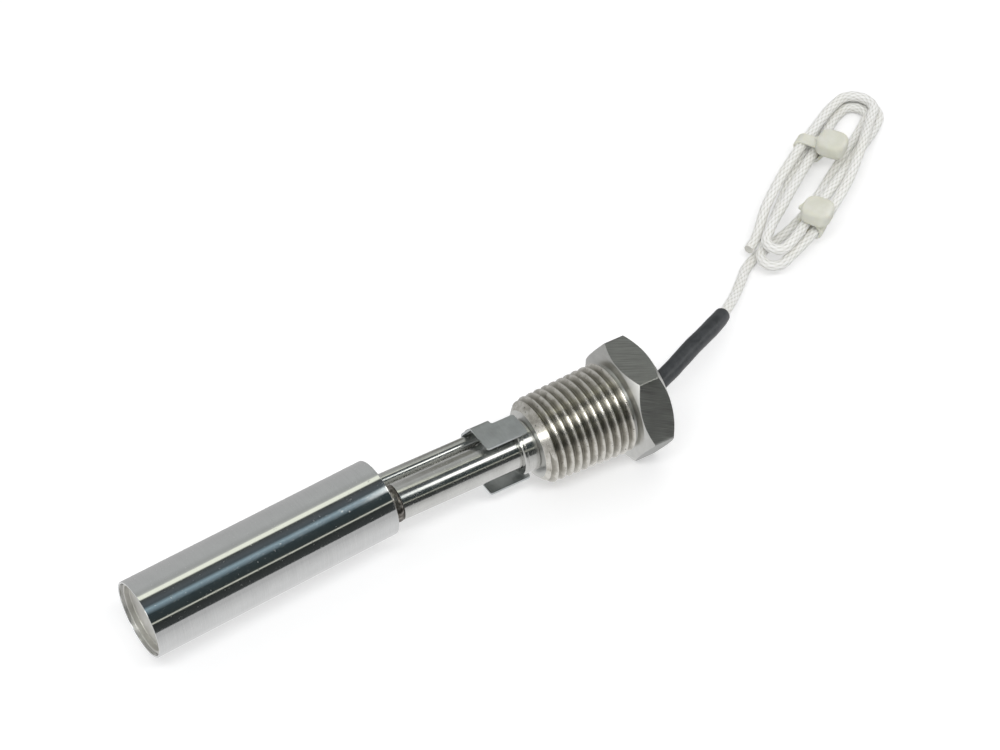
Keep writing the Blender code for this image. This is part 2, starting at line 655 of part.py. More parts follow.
def hank_loop(step, turns):
    """One point of a loop, 24 steps to a loop, from the near end of its right-hand run.

    It comes as along, side, and the share of the run where it lies.
    """
    half = HANK_RUN / 2
    run, bend = 4, 8
    near_end = -half - HANK_NEAR_REACH * min(1.0, turns / 2)
    if step <= run or run + bend <= step <= 2 * run + bend:
        share = step / run if step <= run else (2 * run + bend - step) / run
        along = near_end + (half - near_end) * share
        width = hank_run_width(turns, share) - HANK_WAIST * math.sin(math.pi * share) ** 2
        shift = HANK_FAR_SHIFT * share
        return along, (shift - width) if step <= run else (shift + width), share
    if step < run + bend:
        half_width = hank_run_width(turns, 1.0)
        angle = math.pi * ((step - run) / bend - 0.5)
        return half + half_width * math.cos(angle), HANK_FAR_SHIFT + half_width * math.sin(angle), 1.0
    near_width = hank_near_width(turns)
    angle = math.pi * ((step - 2 * run - bend) / bend + 0.5)
    return near_end + near_width * math.cos(angle), near_width * math.sin(angle), 0.0


def hank_plan():
    """The hank's centre line as (along, side, height).

    The cable runs in under the loops and winds outwards for two loops, the first lying on the
    second at the narrow near end. It climbs over the outer loop along one run, lies in the
    valley between the two, and drops off the outside of the other run to its free end.
    """
    line = [(a, s, CABLE_R) for a, s in HANK_ENTRY[:5]]
    for along, side in HANK_ENTRY[5:]:
        share = (along - HANK_ENTRY[4][0]) / (HANK_RUN / 2 - HANK_ENTRY[4][0])
        line.append((along, side, CABLE_R + (hank_height(along) - CABLE_R) * share))
    for k in range(4, 48):
        along, side, share = hank_loop(k % 24, k / 24)
        rise = hank_rise(k / 24, share) if k <= 28 else 0.0
        line.append((along, side, hank_height(along) + rise))
    for k in range(0, 17):
        along, side, share = hank_loop(k, 1 + k / 24)
        rise = hank_rise(1 + k / 24, share) if k <= 4 else 0.0
        top = math.radians(HANK_STACK_DEG)
        start = -math.asin(hank_rise(1.0, 0.0) / HANK_STACK)
        angle = start + (top - start) * k / 4 if k <= 4 else top * min(1.0, (16 - k) / 4)
        facing = math.pi * min(max((k - 4) / 8, 0.0), 1.0) - math.pi / 2
        outward = HANK_STACK * math.cos(angle)
        along += outward * math.cos(facing)
        side += outward * math.sin(facing)
        line.append((along, side, hank_height(along) + rise + HANK_STACK * math.sin(angle)))
    along, side, height = line[-1]
    line.append((along - HANK_FREE_END, side + HANK_FREE_END / 8, height))
    return line


def least_self_gap(points, diameter):
    """The least gap between stretches of the tube that aren't next to each other."""
    fine = []
    for a, b in zip(points, points[1:]):
        fine += [a + (b - a) * t / 4 for t in range(4)]
    fine = np.array(fine + [points[-1]])
    along = np.concatenate([[0], np.cumsum(np.linalg.norm(np.diff(fine, axis=0), axis=1))])
    apart = np.linalg.norm(fine[:, None] - fine[None], axis=2)
    apart[np.abs(along[:, None] - along[None]) < 3 * diameter] = np.inf
    return apart.min() - diameter


def make_cable(parent, braid, black_sleeve):
    """The cable from the splices to the hank, its black sleeve and the hank itself."""
    plan = hank_plan()
    hank = np.array([hank_place(*point) for point in plan])
    entry = (hank[1] - hank[0]) / np.linalg.norm(hank[1] - hank[0])
    meets = hank[0] - entry * SEAT_GAP
    straight = meets - entry * CABLE_D
    lead = np.vstack([smooth_line(CABLE_ROUTE + [tuple(straight)], 2.2 * CABLE_D), meets])
    add_piece("cable_lead", tube_curve("cable_lead", lead, CABLE_D, 2), braid, parent)
    add_piece("cable_hank", tube_curve("cable_hank", hank, CABLE_D, 1), braid, parent)
    print("least gap in the hank, mm:", round(least_self_gap(hank, CABLE_D) / MM, 2))
    start = lead[:, 0] >= SLEEVE_START
    end = lead[:, 0] <= CABLE_ROUTE[SLEEVE_END_POINT][0]
    covered = np.vstack([[SLEEVE_START, 0, 0], lead[start & end]])
    sleeve = swept_ring("heat_shrink_sleeve", covered, SLEEVE_R, SLEEVE_BORE_R)
    add_piece("heat_shrink_sleeve", sleeve, black_sleeve, parent)
    return plan


def swept_ring(name, points, outer, bore):
    """A tube with a bore along a gently bent line."""
    bm = bmesh.new()
    rings = []
    for i, point in enumerate(points):
        before, after = points[max(i - 1, 0)], points[min(i + 1, len(points) - 1)]
        along = Vector(after - before).normalized()
        side = Vector((0, 0, 1)).cross(along).normalized()
        up = along.cross(side)
        ring = []
        for radius in (outer, bore):
            for k in range(SMALL):
                turn = 2 * math.pi * k / SMALL
                offset = side * math.cos(turn) + up * math.sin(turn)
                ring.append(bm.verts.new(Vector(point) + offset * radius))
        rings.append(ring)
    for a, b in zip(rings, rings[1:]):
        for first in (0, SMALL):
            for k in range(SMALL):
                j, n = first + k, first + (k + 1) % SMALL
                bm.faces.new((a[j], a[n], b[n], b[j]))
    for ring in (rings[0], rings[-1]):
        for k in range(SMALL):
            n = (k + 1) % SMALL
            bm.faces.new((ring[k], ring[n], ring[SMALL + n], ring[SMALL + k]))
    return close_mesh(name, bm)


def rounded_box(low, high, radius):
    """The outline of a rounded rectangle as (side, height) corners."""
    corners = ((high[0], high[1], 0), (low[0], high[1], 90), (low[0], low[1], 180), (high[0], low[1], 270))
    outline = []
    for side, height, start in corners:
        centre = (side - math.copysign(radius, side - (low[0] + high[0]) / 2),
                  height - math.copysign(radius, height - (low[1] + high[1]) / 2))
        outline += arc(centre, radius, start, start + 90, 4)
    return outline


def make_tie(name, along, near_side, head_share, head_drop, plan, parent, nylon):
    """A cable tie: a band round one run, its head on top at a share from the inner to the outer edge."""
    strands = []
    loops = plan[len(HANK_ENTRY):]
    for (a, s, h), (b, t, g) in zip(loops, loops[1:]):
        if min(a, b) <= along < max(a, b) and (s > 0) == near_side:
            share = (along - a) / (b - a)
            strands.append((s + (t - s) * share, h + (g - h) * share))
    reach = CABLE_R + SEAT_GAP
    low = [min(strand[i] for strand in strands) - reach for i in (0, 1)]
    high = [max(strand[i] for strand in strands) + reach for i in (0, 1)]
    outside_low = [value - TIE_THICKNESS for value in low]
    outside_high = [value + TIE_THICKNESS for value in high]
    inside = rounded_box(low, high, CABLE_R)
    outside = rounded_box(outside_low, outside_high, CABLE_R + TIE_THICKNESS)
    bm = bmesh.new()
    rings = []
    for x in (-TIE_WIDTH / 2, TIE_WIDTH / 2):
        for outline in (outside, inside):
            rings.append([bm.verts.new((x, s, h)) for s, h in outline])
    count = len(inside)
    for a, b in ((0, 1), (1, 3), (3, 2), (2, 0)):
        for k in range(count):
            n = (k + 1) % count
            bm.faces.new((rings[a][k], rings[a][n], rings[b][n], rings[b][k]))
    band = close_mesh(name, bm)
    turn = Matrix.Rotation(math.radians(HANK_TURN_DEG), 4, "Z")
    place = Matrix.Translation(hank_place(along, 0, 0)) @ turn
    band.transform(place)
    tie = add_piece(name, band, nylon, parent)
    inner, outer = (low[0], high[0]) if near_side else (high[0], low[0])
    head = bmesh.new()
    bmesh.ops.create_cube(head, size=1.0)
    rise = (TIE_HEAD_HEIGHT - TIE_THICKNESS) / 2
    middle = Vector((0, inner + (outer - inner) * head_share, outside_high[1] + rise - head_drop))
    size = (TIE_HEAD_LENGTH, TIE_HEAD_WIDTH, TIE_HEAD_HEIGHT, 1.0)
    stretch = Matrix.Translation(middle) @ Matrix.Diagonal(size)
    bmesh.ops.transform(head, matrix=stretch, verts=head.verts[:])
    bmesh.ops.bevel(head, geom=head.edges[:], offset=TIE_HEAD_BEVEL, segments=2, affect="EDGES", profile=0.5)
    head_mesh = close_mesh(name + "_head", head)
    head_mesh.transform(place)
    cut_or_join(tie, head_mesh, "UNION", name + "_head")


def main():
    for old in list(bpy.data.objects):
        bpy.data.objects.remove(old, do_unlink=True)

    plug_steel = make_material("plug steel", (0.56, 0.54, 0.51), 0.34, 1.0)
    stem_steel = make_material("stem steel", (0.60, 0.60, 0.60), 0.16, 1.0)
    weld_steel = make_material("welded steel", (0.34, 0.33, 0.32), 0.45, 1.0)
    sheet_steel = make_material("sheet steel", (0.48, 0.50, 0.53), 0.38, 1.0)
    polished = make_material("polished steel", (0.66, 0.67, 0.68), 0.07, 1.0)
    magnet_metal = make_material("magnet", (0.16, 0.16, 0.17), 0.5, 0.7)
    glass = make_material("reed glass", (0.62, 0.72, 0.66), 0.08, 0.0)
    contact = make_material("contact metal", (0.70, 0.64, 0.48), 0.3, 1.0)
    plastic = make_material("insulating plastic", (0.82, 0.80, 0.74), 0.5, 0.0)
    wire_cover = make_material("wire cover", (0.78, 0.77, 0.74), 0.5, 0.0)
    resin = make_material("potting resin", (0.06, 0.06, 0.06), 0.45, 0.0)
    black_sleeve = make_material("black sleeve", (0.03, 0.032, 0.036), 0.42, 0.0)
    braid = make_material("white braid", (0.82, 0.81, 0.77), 0.75, 0.0)
    nylon = make_material("natural nylon", (0.84, 0.82, 0.72), 0.4, 0.0)

    nose_left = FLOAT_REAR - FLOAT_LENGTH * FLOAT_AXIS.x - FLOAT_R * FLOAT_SLANT * FLOAT_AXIS.x
    middle = (nose_left + HEX_REAR) / 2
    base = make_frame("switch", None, (-middle, 0, AXIS_HEIGHT))
    stem = make_frame("stem", base, turn=(STEM_ROLL, 0, 0))
    pivot = make_frame("pivot", stem, (PIVOT_X, 0, 0))
    float_place = (FLOAT_REAR - PIVOT_X, FLOAT_SIDE, FLOAT_RISE)
    float_frame = make_frame("float", pivot, float_place, (0, -FLOAT_SET, FLOAT_YAW))

    make_plug(base, plug_steel)
    make_stem(stem, stem_steel, weld_steel)
    make_reed(stem, glass, contact, plastic, wire_cover)
    make_potting(base, resin)
    make_pivot(stem, stem_steel)
    make_bracket(pivot, sheet_steel)
    make_arm(pivot, stem_steel)
    make_float(float_frame, polished, magnet_metal, plastic)
    plan = make_cable(base, braid, black_sleeve)
    upper_head = (TIE_UPPER_HEAD_SHARE, TIE_UPPER_HEAD_DROP)
    lower_head = (TIE_LOWER_HEAD_SHARE, TIE_LOWER_HEAD_DROP)
    make_tie("cable_tie_upper", TIE_UPPER_AT, True, *upper_head, plan, base, nylon)
    make_tie("cable_tie_lower", TIE_LOWER_AT, False, *lower_head, plan, base, nylon)


main()
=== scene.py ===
"""The looks of a side-mount float level switch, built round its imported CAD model.

Lengths are in metres. The stem lies along X, with the float at -X and the cable at +X.
"""

import math

import bmesh
import bpy
import numpy as np
from mathutils import Matrix, Vector, noise


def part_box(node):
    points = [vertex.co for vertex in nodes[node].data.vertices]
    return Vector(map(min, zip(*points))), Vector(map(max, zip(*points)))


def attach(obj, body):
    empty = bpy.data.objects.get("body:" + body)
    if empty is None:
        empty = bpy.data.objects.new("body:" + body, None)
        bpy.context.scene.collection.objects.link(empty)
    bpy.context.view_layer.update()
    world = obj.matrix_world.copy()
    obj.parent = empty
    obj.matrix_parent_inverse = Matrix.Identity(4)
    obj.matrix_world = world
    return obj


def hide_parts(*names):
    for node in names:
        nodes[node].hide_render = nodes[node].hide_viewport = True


MM = 0.001

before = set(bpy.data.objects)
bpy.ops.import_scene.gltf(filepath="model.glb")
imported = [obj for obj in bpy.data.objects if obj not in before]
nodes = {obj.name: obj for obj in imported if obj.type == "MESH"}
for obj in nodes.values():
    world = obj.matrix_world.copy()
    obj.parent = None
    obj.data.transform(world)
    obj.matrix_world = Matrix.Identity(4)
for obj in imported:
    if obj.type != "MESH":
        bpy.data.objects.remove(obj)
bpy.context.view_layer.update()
scene = bpy.context.scene

# Plug, repeated from the part's source
HEX_AF = 26.0 * MM
HEX_LENGTH = 8.1 * MM
HEX_CHAMFER_FLAT_SHARE = 0.985
HEX_CHAMFER_SLOPE = 0.73
THREAD_PITCH = 2.0 * MM
THREAD_TURNS = 10
THREAD_DEPTH = 1.05 * MM
THREAD_NOSE_R = 10.25 * MM
THREAD_HEX_R = 11.05 * MM
NOSE_FACE_R = 8.2 * MM
NOSE_CHAMFER = 1.9 * MM
RELIEF_LENGTH = 1.1 * MM
PLUG_BORE_R = 5.3 * MM
SHANK_END = NOSE_CHAMFER + THREAD_PITCH * THREAD_TURNS
HEX_FRONT = SHANK_END + RELIEF_LENGTH
HEX_REAR = HEX_FRONT + HEX_LENGTH

# Stem and hinge
COLLAR_R = 6.05 * MM
COLLAR_LENGTH = 3.8 * MM
COLLAR_SPIGOT = 6.0 * MM
TUBE_R = 4.3 * MM
TUBE_BORE_R = 3.7 * MM
TUBE_END = -33.7 * MM
TUBE_IN_PLUG = 8.0 * MM
STEM_TIP = -36.5 * MM
STEM_ROLL = math.radians(-5.7)
SEAT_GAP = 0.3 * MM
PIVOT_X = -9.5 * MM
SHEET = 0.5 * MM
STUD_R = 0.6 * MM
STUD_HEAD_R = 1.2 * MM
STUD_FOOT = 4.6 * MM
STUD_HEAD_LOW = 10.3 * MM
STUD_HEAD_TOP = 10.7 * MM
WASHER_LOW = 4.7 * MM
WASHER_HIGH = 5.0 * MM
WASHER_R = 1.5 * MM
ARM_R = 1.9 * MM
ARM_Y = 7.3 * MM
ARM_Z = 0.1 * MM
ARM_RIGHT = -7.2 * MM

# Float
FLOAT_R = 9.0 * MM
FLOAT_BORE_R = 8.5 * MM
FLOAT_LENGTH = 59.8 * MM
FLOAT_REAR = -37.0 * MM
FLOAT_SIDE = 2.4 * MM
FLOAT_RISE = 1.25 * MM
FLOAT_SET = math.radians(0.5)
FLOAT_YAW = math.radians(3.8)
CAP_RECESS = 2.0 * MM
CAP_THICKNESS = 0.5 * MM
CAP_LIP = 1.3 * MM
SOCKET_R = 3.1 * MM
SOCKET_LENGTH = 2.4 * MM

# Cable, sleeve, hank and ties
CABLE_R = 1.25 * MM
SLEEVE_R = 2.12 * MM
SLEEVE_BORE_R = 1.4 * MM
SLEEVE_START = HEX_REAR - 4.8 * MM
SLEEVE_END_POINT = 7
CABLE_ROUTE = [
    (13.3 * MM, 0.0, 0.0),
    (HEX_FRONT, 0.0, 0.0),
    (HEX_REAR - 1.0 * MM, 0.0, 0.0),
    (HEX_REAR + 3.0 * MM, 0.5 * MM, 0.0),
    (HEX_REAR + 7.5 * MM, 2.2 * MM, -0.2 * MM),
    (HEX_REAR + 18.5 * MM, 7.4 * MM, -1.0 * MM),
    (HEX_REAR + 25.5 * MM, 10.9 * MM, -2.4 * MM),
    (HEX_REAR + 31.5 * MM, 14.6 * MM, -4.2 * MM),
    (HEX_REAR + 39.1 * MM, 20.7 * MM, -7.6 * MM),
    (HEX_REAR + 45.8 * MM, 27.0 * MM, -10.6 * MM),
]
HANK_ENTRY = [
    (-36.5 * MM, 5.2 * MM),
    (-33.5 * MM, 5.0 * MM),
    (-28.0 * MM, 3.7 * MM),
    (-21.0 * MM, 1.3 * MM),
    (-13.0 * MM, -0.5 * MM),
    (-5.0 * MM, -1.4 * MM),
    (4.0 * MM, -1.7 * MM),
    (13.0 * MM, -2.0 * MM),
]
HANK_CENTRE = Vector((113.7 * MM, 46.2 * MM, 0.0))
HANK_TURN = math.radians(33.6)
HANK_RUN = 55.0 * MM
HANK_FIRST_HALF_WIDTH = 2.4 * MM
HANK_STEP = 3.05 * MM
HANK_STACK = 3.2 * MM
HANK_STACK_TURN = math.radians(120.0)
HANK_WAIST = -0.2 * MM
HANK_TAPER = 5.3 * MM
HANK_TAPER_BOW = 1.8
HANK_NEAR_LEAST = 2.9 * MM
HANK_NEAR_REACH = 5.5 * MM
HANK_FAR_SHIFT = 0.9 * MM
HANK_LIFT = 3.2 * MM
HANK_CROSSING = -26.0 * MM
HANK_FREE_END = 0.6 * MM
TIE_WIDTH = 3.4 * MM
TIE_THICKNESS = 0.8 * MM
TIE_HEAD_SIZE = (7.4 * MM, 7.6 * MM, 4.2 * MM)
TIE_SLOT_SIDE = 1.5 * MM
TIE_SLOT_RISE = 0.3 * MM
TIE_UPPER_AT = 5.5 * MM
TIE_UPPER_HEAD_SHARE = -0.5
TIE_UPPER_HEAD_DROP = 1.0 * MM
TIE_LOWER_AT = -19.0 * MM
TIE_LOWER_HEAD_SHARE = 0.7
TIE_LOWER_HEAD_DROP = 0.0 * MM

# Frames of the plug, the stem and the float
plug_low, plug_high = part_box("plug_body")
AXIS_HEIGHT = (plug_low.z + plug_high.z) / 2
BASE = Matrix.Translation((plug_low.x, 0, AXIS_HEIGHT))
STEM = BASE @ Matrix.Rotation(STEM_ROLL, 4, "X")
FLOAT_TURN = Matrix.Rotation(FLOAT_YAW, 4, "Z") @ Matrix.Rotation(-FLOAT_SET, 4, "Y")
FLOAT = STEM @ Matrix.Translation((FLOAT_REAR, FLOAT_SIDE, FLOAT_RISE)) @ FLOAT_TURN
FLOAT_AXIS = FLOAT_TURN @ Vector((1, 0, 0))
FLOAT_SLANT = math.hypot(FLOAT_AXIS.y, FLOAT_AXIS.z) / FLOAT_AXIS.x
ARM = STEM @ Matrix.Translation((0, ARM_Y, ARM_Z))


# Materials: each is a Principled shader fed by procedural textures


def new_look(name, colour, roughness, metallic, **sockets):
    look = bpy.data.materials.new(name)
    look.use_nodes = True
    look.diffuse_color = (*colour, 1.0)
    shader = look.node_tree.nodes["Principled BSDF"]
    shader.inputs["Base Color"].default_value = (*colour, 1.0)
    shader.inputs["Roughness"].default_value = roughness
    shader.inputs["Metallic"].default_value = metallic
    for socket, value in sockets.items():
        shader.inputs[socket.replace("_", " ")].default_value = value
    return look, look.node_tree, shader


def place_texture(tree, stretch=(1, 1, 1), source="Object", turn=0.0):
    coordinates = tree.nodes.new("ShaderNodeTexCoord")
    mapping = tree.nodes.new("ShaderNodeMapping")
    mapping.inputs["Scale"].default_value = stretch
    turned = coordinates.outputs[source]
    if turn:
        turning = tree.nodes.new("ShaderNodeMapping")
        turning.inputs["Rotation"].default_value = (0, 0, turn)
        tree.links.new(turned, turning.inputs["Vector"])
        turned = turning.outputs["Vector"]
    tree.links.new(turned, mapping.inputs["Vector"])
    return mapping.outputs["Vector"]


def noise_of(tree, place, scale, detail=3.0, rough=0.55):
    texture = tree.nodes.new("ShaderNodeTexNoise")
    texture.inputs["Scale"].default_value = scale
    texture.inputs["Detail"].default_value = detail
    texture.inputs["Roughness"].default_value = rough
    tree.links.new(place, texture.inputs["Vector"])
    return texture.outputs["Fac"]


def attribute_of(tree, name):
    attribute = tree.nodes.new("ShaderNodeAttribute")
    attribute.attribute_name = name
    return attribute.outputs["Fac"]


def ramp_of(tree, value, stops):
    ramp = tree.nodes.new("ShaderNodeValToRGB")
    points = ramp.color_ramp.elements
    while len(points) < len(stops):
        points.new(0.5)
    for point, (place, colour) in zip(points, stops):
        point.position = place
        point.color = (*colour, 1.0)
    tree.links.new(value, ramp.inputs["Fac"])
    return ramp.outputs["Color"]


def spread(tree, value, low, high, to_low, to_high):
    node = tree.nodes.new("ShaderNodeMapRange")
    for socket, number in zip(("From Min", "From Max", "To Min", "To Max"), (low, high, to_low, to_high)):
        node.inputs[socket].default_value = number
    tree.links.new(value, node.inputs["Value"])
    return node.outputs["Result"]


def blend_colours(tree, share, first, second, kind="MIX"):
    """Mixes two colours, each a socket or a plain colour, by a socket or a plain share."""
    node = tree.nodes.new("ShaderNodeMix")
    node.data_type = "RGBA"
    node.blend_type = kind
    for socket, value in (("Factor_Float", share), ("A_Color", first), ("B_Color", second)):
        entry = next(s for s in node.inputs if s.identifier == socket)
        if isinstance(value, bpy.types.NodeSocket):
            tree.links.new(value, entry)
        else:
            entry.default_value = value if isinstance(value, float) else (*value, 1.0)
    return next(s for s in node.outputs if s.identifier == "Result_Color")


def join_values(tree, operation, first, second):
    node = tree.nodes.new("ShaderNodeMath")
    node.operation = operation
    for entry, value in zip(node.inputs, (first, second)):
        if isinstance(value, bpy.types.NodeSocket):
            tree.links.new(value, entry)
        else:
            entry.default_value = value
    return node.outputs["Value"]


def add_relief(tree, shader, height, depth, strength=1.0):
    bump = tree.nodes.new("ShaderNodeBump")
    bump.inputs["Strength"].default_value = strength
    bump.inputs["Distance"].default_value = depth
    tree.links.new(height, bump.inputs["Height"])
    tree.links.new(bump.outputs["Normal"], shader.inputs["Normal"])


def brush_round(tree, shader):
    """Points the shader's anisotropy along X, as on a piece polished while it turned."""
    tangent = tree.nodes.new("ShaderNodeTangent")
    tangent.direction_type = "RADIAL"
    tangent.axis = "X"
    tree.links.new(tangent.outputs["Tangent"], shader.inputs["Tangent"])


def turned_look(name, colour, dull, roughness, spread_by, line_depth, speck, brushed):
    """Steel turned or polished round X: fine lines round it, faint blotches and a few specks."""
    turned = {"Anisotropic": brushed, "Anisotropic_Rotation": 0.25} if brushed else {}
    look, tree, shader = new_look(name, colour, roughness, 1.0, **turned)
    plain = place_texture(tree)
    lines = noise_of(tree, place_texture(tree, (5200, 90, 90)), 1.0, 4.0, 0.7)
    blotches = noise_of(tree, plain, 260.0, 4.0)
    dots = noise_of(tree, plain, 1900.0, 2.0, 0.4)
    specks = spread(tree, dots, 0.66, 0.74, 0.0, speck)
    shade = ramp_of(tree, blotches, [(0.3, dull), (0.62, colour)])
    lined = ramp_of(tree, lines, [(0.3, (0.94, 0.94, 0.94)), (0.65, (1.0, 1.0, 1.0))])
    tree.links.new(blend_colours(tree, 1.0, shade, lined, "MULTIPLY"), shader.inputs["Base Color"])
    rough = spread(tree, blotches, 0.3, 0.7, roughness - spread_by, roughness + spread_by)
    tree.links.new(join_values(tree, "ADD", rough, specks), shader.inputs["Roughness"])
    add_relief(tree, shader, lines, line_depth, 0.6)
    if brushed:
        brush_round(tree, shader)
    return look


def thread_look():
    """Warm turned steel: crests lighter with wear, roots darkened partly by dirt and partly by painted shade, and a few
    nicks.
    """
    colour = (0.62, 0.60, 0.55)
    brushed = {"Anisotropic": 0.6, "Anisotropic_Rotation": 0.25}
    look, tree, shader = new_look("plug_thread", colour, 0.3, 1.0, **brushed)
    crest = attribute_of(tree, "crest")
    plain = place_texture(tree)
    blotches = noise_of(tree, plain, 420.0, 4.0)
    lines = noise_of(tree, place_texture(tree, (6000, 120, 120)), 1.0, 3.0, 0.7)
    # Lighter towards the crests and darker towards the roots: partly wear and dirt, partly painted shade in the
    # recesses of the thread.
    crest_wear_and_root_shade = join_values(tree, "ADD", crest, spread(tree, blotches, 0.35, 0.65, -0.25, 0.25))
    shade = ramp_of(tree, crest_wear_and_root_shade, [(0.05, (0.33, 0.315, 0.275)), (0.55, (0.50, 0.48, 0.43)), (0.9, (0.76, 0.74, 0.69))])
    dots = noise_of(tree, plain, 1500.0, 1.0, 0.4)
    nicks = spread(tree, dots, 0.68, 0.75, 0.0, 0.7)
    tree.links.new(blend_colours(tree, nicks, shade, (0.12, 0.11, 0.10)), shader.inputs["Base Color"])
    tree.links.new(spread(tree, crest_wear_and_root_shade, 0.0, 1.0, 0.36, 0.2), shader.inputs["Roughness"])
    add_relief(tree, shader, lines, 0.012 * MM, 0.5)
    brush_round(tree, shader)
    return look


def milled_look():
    """The hex flats, with the slanted lines of the milling cutter."""
    colour = (0.34, 0.345, 0.33)
    look, tree, shader = new_look("plug_hex_flats", colour, 0.34, 1.0)
    lines = noise_of(tree, place_texture(tree, (110, 7500, 1), "UV", math.radians(-29)), 1.0, 3.0, 0.65)
    blotches = noise_of(tree, place_texture(tree), 300.0, 4.0)
    shade = ramp_of(tree, lines, [(0.28, (0.20, 0.20, 0.19)), (0.5, (0.33, 0.335, 0.32)), (0.74, (0.50, 0.505, 0.49))])
    worn = ramp_of(tree, blotches, [(0.3, (0.9, 0.9, 0.9)), (0.7, (1.0, 1.0, 1.0))])
    tree.links.new(blend_colours(tree, 1.0, shade, worn, "MULTIPLY"), shader.inputs["Base Color"])
    tree.links.new(spread(tree, lines, 0.3, 0.7, 0.30, 0.44), shader.inputs["Roughness"])
    add_relief(tree, shader, lines, 0.02 * MM, 0.7)
    return look


def sheet_look():
    """Cold-rolled sheet: blue-grey, with faint rolling lines along the fold and light scuffs."""
    colour = (0.57, 0.60, 0.605)
    look, tree, shader = new_look("bracket_sheet", colour, 0.34, 1.0)
    lines = noise_of(tree, place_texture(tree, (1, 0.045, 1)), 3800.0, 3.0, 0.6)
    blotches = noise_of(tree, place_texture(tree), 330.0, 4.0)
    shade = ramp_of(tree, blotches, [(0.3, (0.51, 0.535, 0.54)), (0.65, (0.63, 0.66, 0.665))])
    lined = ramp_of(tree, lines, [(0.3, (0.9, 0.9, 0.9)), (0.7, (1.0, 1.0, 1.0))])
    tree.links.new(blend_colours(tree, 1.0, shade, lined, "MULTIPLY"), shader.inputs["Base Color"])
    tree.links.new(spread(tree, blotches, 0.3, 0.7, 0.28, 0.4), shader.inputs["Roughness"])
    add_relief(tree, shader, lines, 0.008 * MM, 0.5)
    return look


def weld_look():
    """Heat-tinted weld metal: straw and dark brown scale over grey."""
    colour = (0.34, 0.32, 0.29)
    look, tree, shader = new_look("weld_bead", colour, 0.42, 1.0)
    plain = place_texture(tree)
    tint = noise_of(tree, plain, 700.0, 4.0, 0.6)
    shade = ramp_of(tree, tint, [(0.32, (0.05, 0.046, 0.042)), (0.5, (0.20, 0.185, 0.165)), (0.68, (0.52, 0.50, 0.47))])
    tree.links.new(shade, shader.inputs["Base Color"])
    tree.links.new(spread(tree, tint, 0.3, 0.7, 0.55, 0.28), shader.inputs["Roughness"])
    add_relief(tree, shader, noise_of(tree, plain, 2200.0, 3.0), 0.05 * MM, 0.6)
    return look


def sleeve_look():
    """Shrunk black tubing: satin, faintly scuffed along its length."""
    colour = (0.030, 0.033, 0.037)
    look, tree, shader = new_look("shrunk_sleeve", colour, 0.38, 0.0)
    plain = place_texture(tree)
    scuffs = noise_of(tree, plain, 420.0, 4.0, 0.6)
    grain = noise_of(tree, plain, 4200.0, 2.0)
    shade = ramp_of(tree, scuffs, [(0.35, (0.022, 0.025, 0.029)), (0.72, (0.052, 0.056, 0.061))])
    tree.links.new(shade, shader.inputs["Base Color"])
    tree.links.new(spread(tree, scuffs, 0.3, 0.7, 0.32, 0.48), shader.inputs["Roughness"])
    add_relief(tree, shader, grain, 0.02 * MM, 0.4)
    return look


def braid_look():
    """Glass-fibre braid: white strands with a soft sheen, and painted shade greying the gaps between them."""
    colour = (0.84, 0.84, 0.81)
    look, tree, shader = new_look("white_braid", colour, 0.55, 0.0, Sheen_Weight=0.25, Sheen_Roughness=0.4)
    strand = attribute_of(tree, "strand")
    plain = place_texture(tree)
    aging = noise_of(tree, plain, 110.0, 3.0)
    fibres = noise_of(tree, plain, 5200.0, 2.0)
    # Painted shade: the lower the braid's surface stands between the strands, the greyer its colour.
    shade = ramp_of(tree, strand, [(0.0, (0.50, 0.495, 0.45)), (0.42, (0.80, 0.795, 0.76)), (0.82, (0.985, 0.985, 0.97))])
    tone = ramp_of(tree, aging, [(0.3, (0.965, 0.96, 0.93)), (0.65, (1.0, 1.0, 1.0))])
    tree.links.new(blend_colours(tree, 1.0, shade, tone, "MULTIPLY"), shader.inputs["Base Color"])
    tree.links.new(spread(tree, strand, 0.0, 1.0, 0.75, 0.46), shader.inputs["Roughness"])
    add_relief(tree, shader, fibres, 0.03 * MM, 0.5)
    return look


def nylon_look():
    """Natural nylon: milky, slightly yellow, with a satin moulded skin."""
    colour = (0.80, 0.795, 0.70)
    look, tree, shader = new_look(
        "natural_nylon", colour, 0.42, 0.0, Subsurface_Weight=0.35, Subsurface_Scale=1.2 * MM
    )
    shader.inputs["Subsurface Radius"].default_value = (1.0, 0.9, 0.6)
    plain = place_texture(tree)
    cloud = noise_of(tree, plain, 300.0, 3.0)
    shade = ramp_of(tree, cloud, [(0.3, (0.70, 0.70, 0.60)), (0.7, (0.77, 0.77, 0.69))])
    tree.links.new(shade, shader.inputs["Base Color"])
    tree.links.new(spread(tree, cloud, 0.3, 0.7, 0.36, 0.5), shader.inputs["Roughness"])
    add_relief(tree, shader, noise_of(tree, plain, 1500.0, 3.0), 0.02 * MM, 0.35)
    return look


def plain_look(name, low, high, roughness, metallic, scale, depth, **sockets):
    """A simple two-tone finish, for pieces that are inside or hardly seen."""
    look, tree, shader = new_look(name, high, roughness, metallic, **sockets)
    plain = place_texture(tree)
    grain = noise_of(tree, plain, scale, 4.0)
    tree.links.new(ramp_of(tree, grain, [(0.3, low), (0.7, high)]), shader.inputs["Base Color"])
    tree.links.new(spread(tree, grain, 0.3, 0.7, roughness * 1.2, roughness * 0.85), shader.inputs["Roughness"])
    add_relief(tree, shader, grain, depth, 0.4)
    return look


# Mesh helpers


def shade_mesh(mesh, sharp_deg):
    mesh.shade_smooth()
    mesh.set_sharp_from_angle(angle=math.radians(sharp_deg))
    return mesh


def grid_faces(count, facets, ring, first=0):
    index = first + np.arange(count * facets).reshape(count, facets)
    low = index if ring else index[:-1]
    high = np.roll(index, -1, axis=0) if ring else index[1:]
    quads = np.stack([low, np.roll(low, -1, axis=1), np.roll(high, -1, axis=1), high], axis=-1)
    return quads.reshape(-1, 4).tolist()


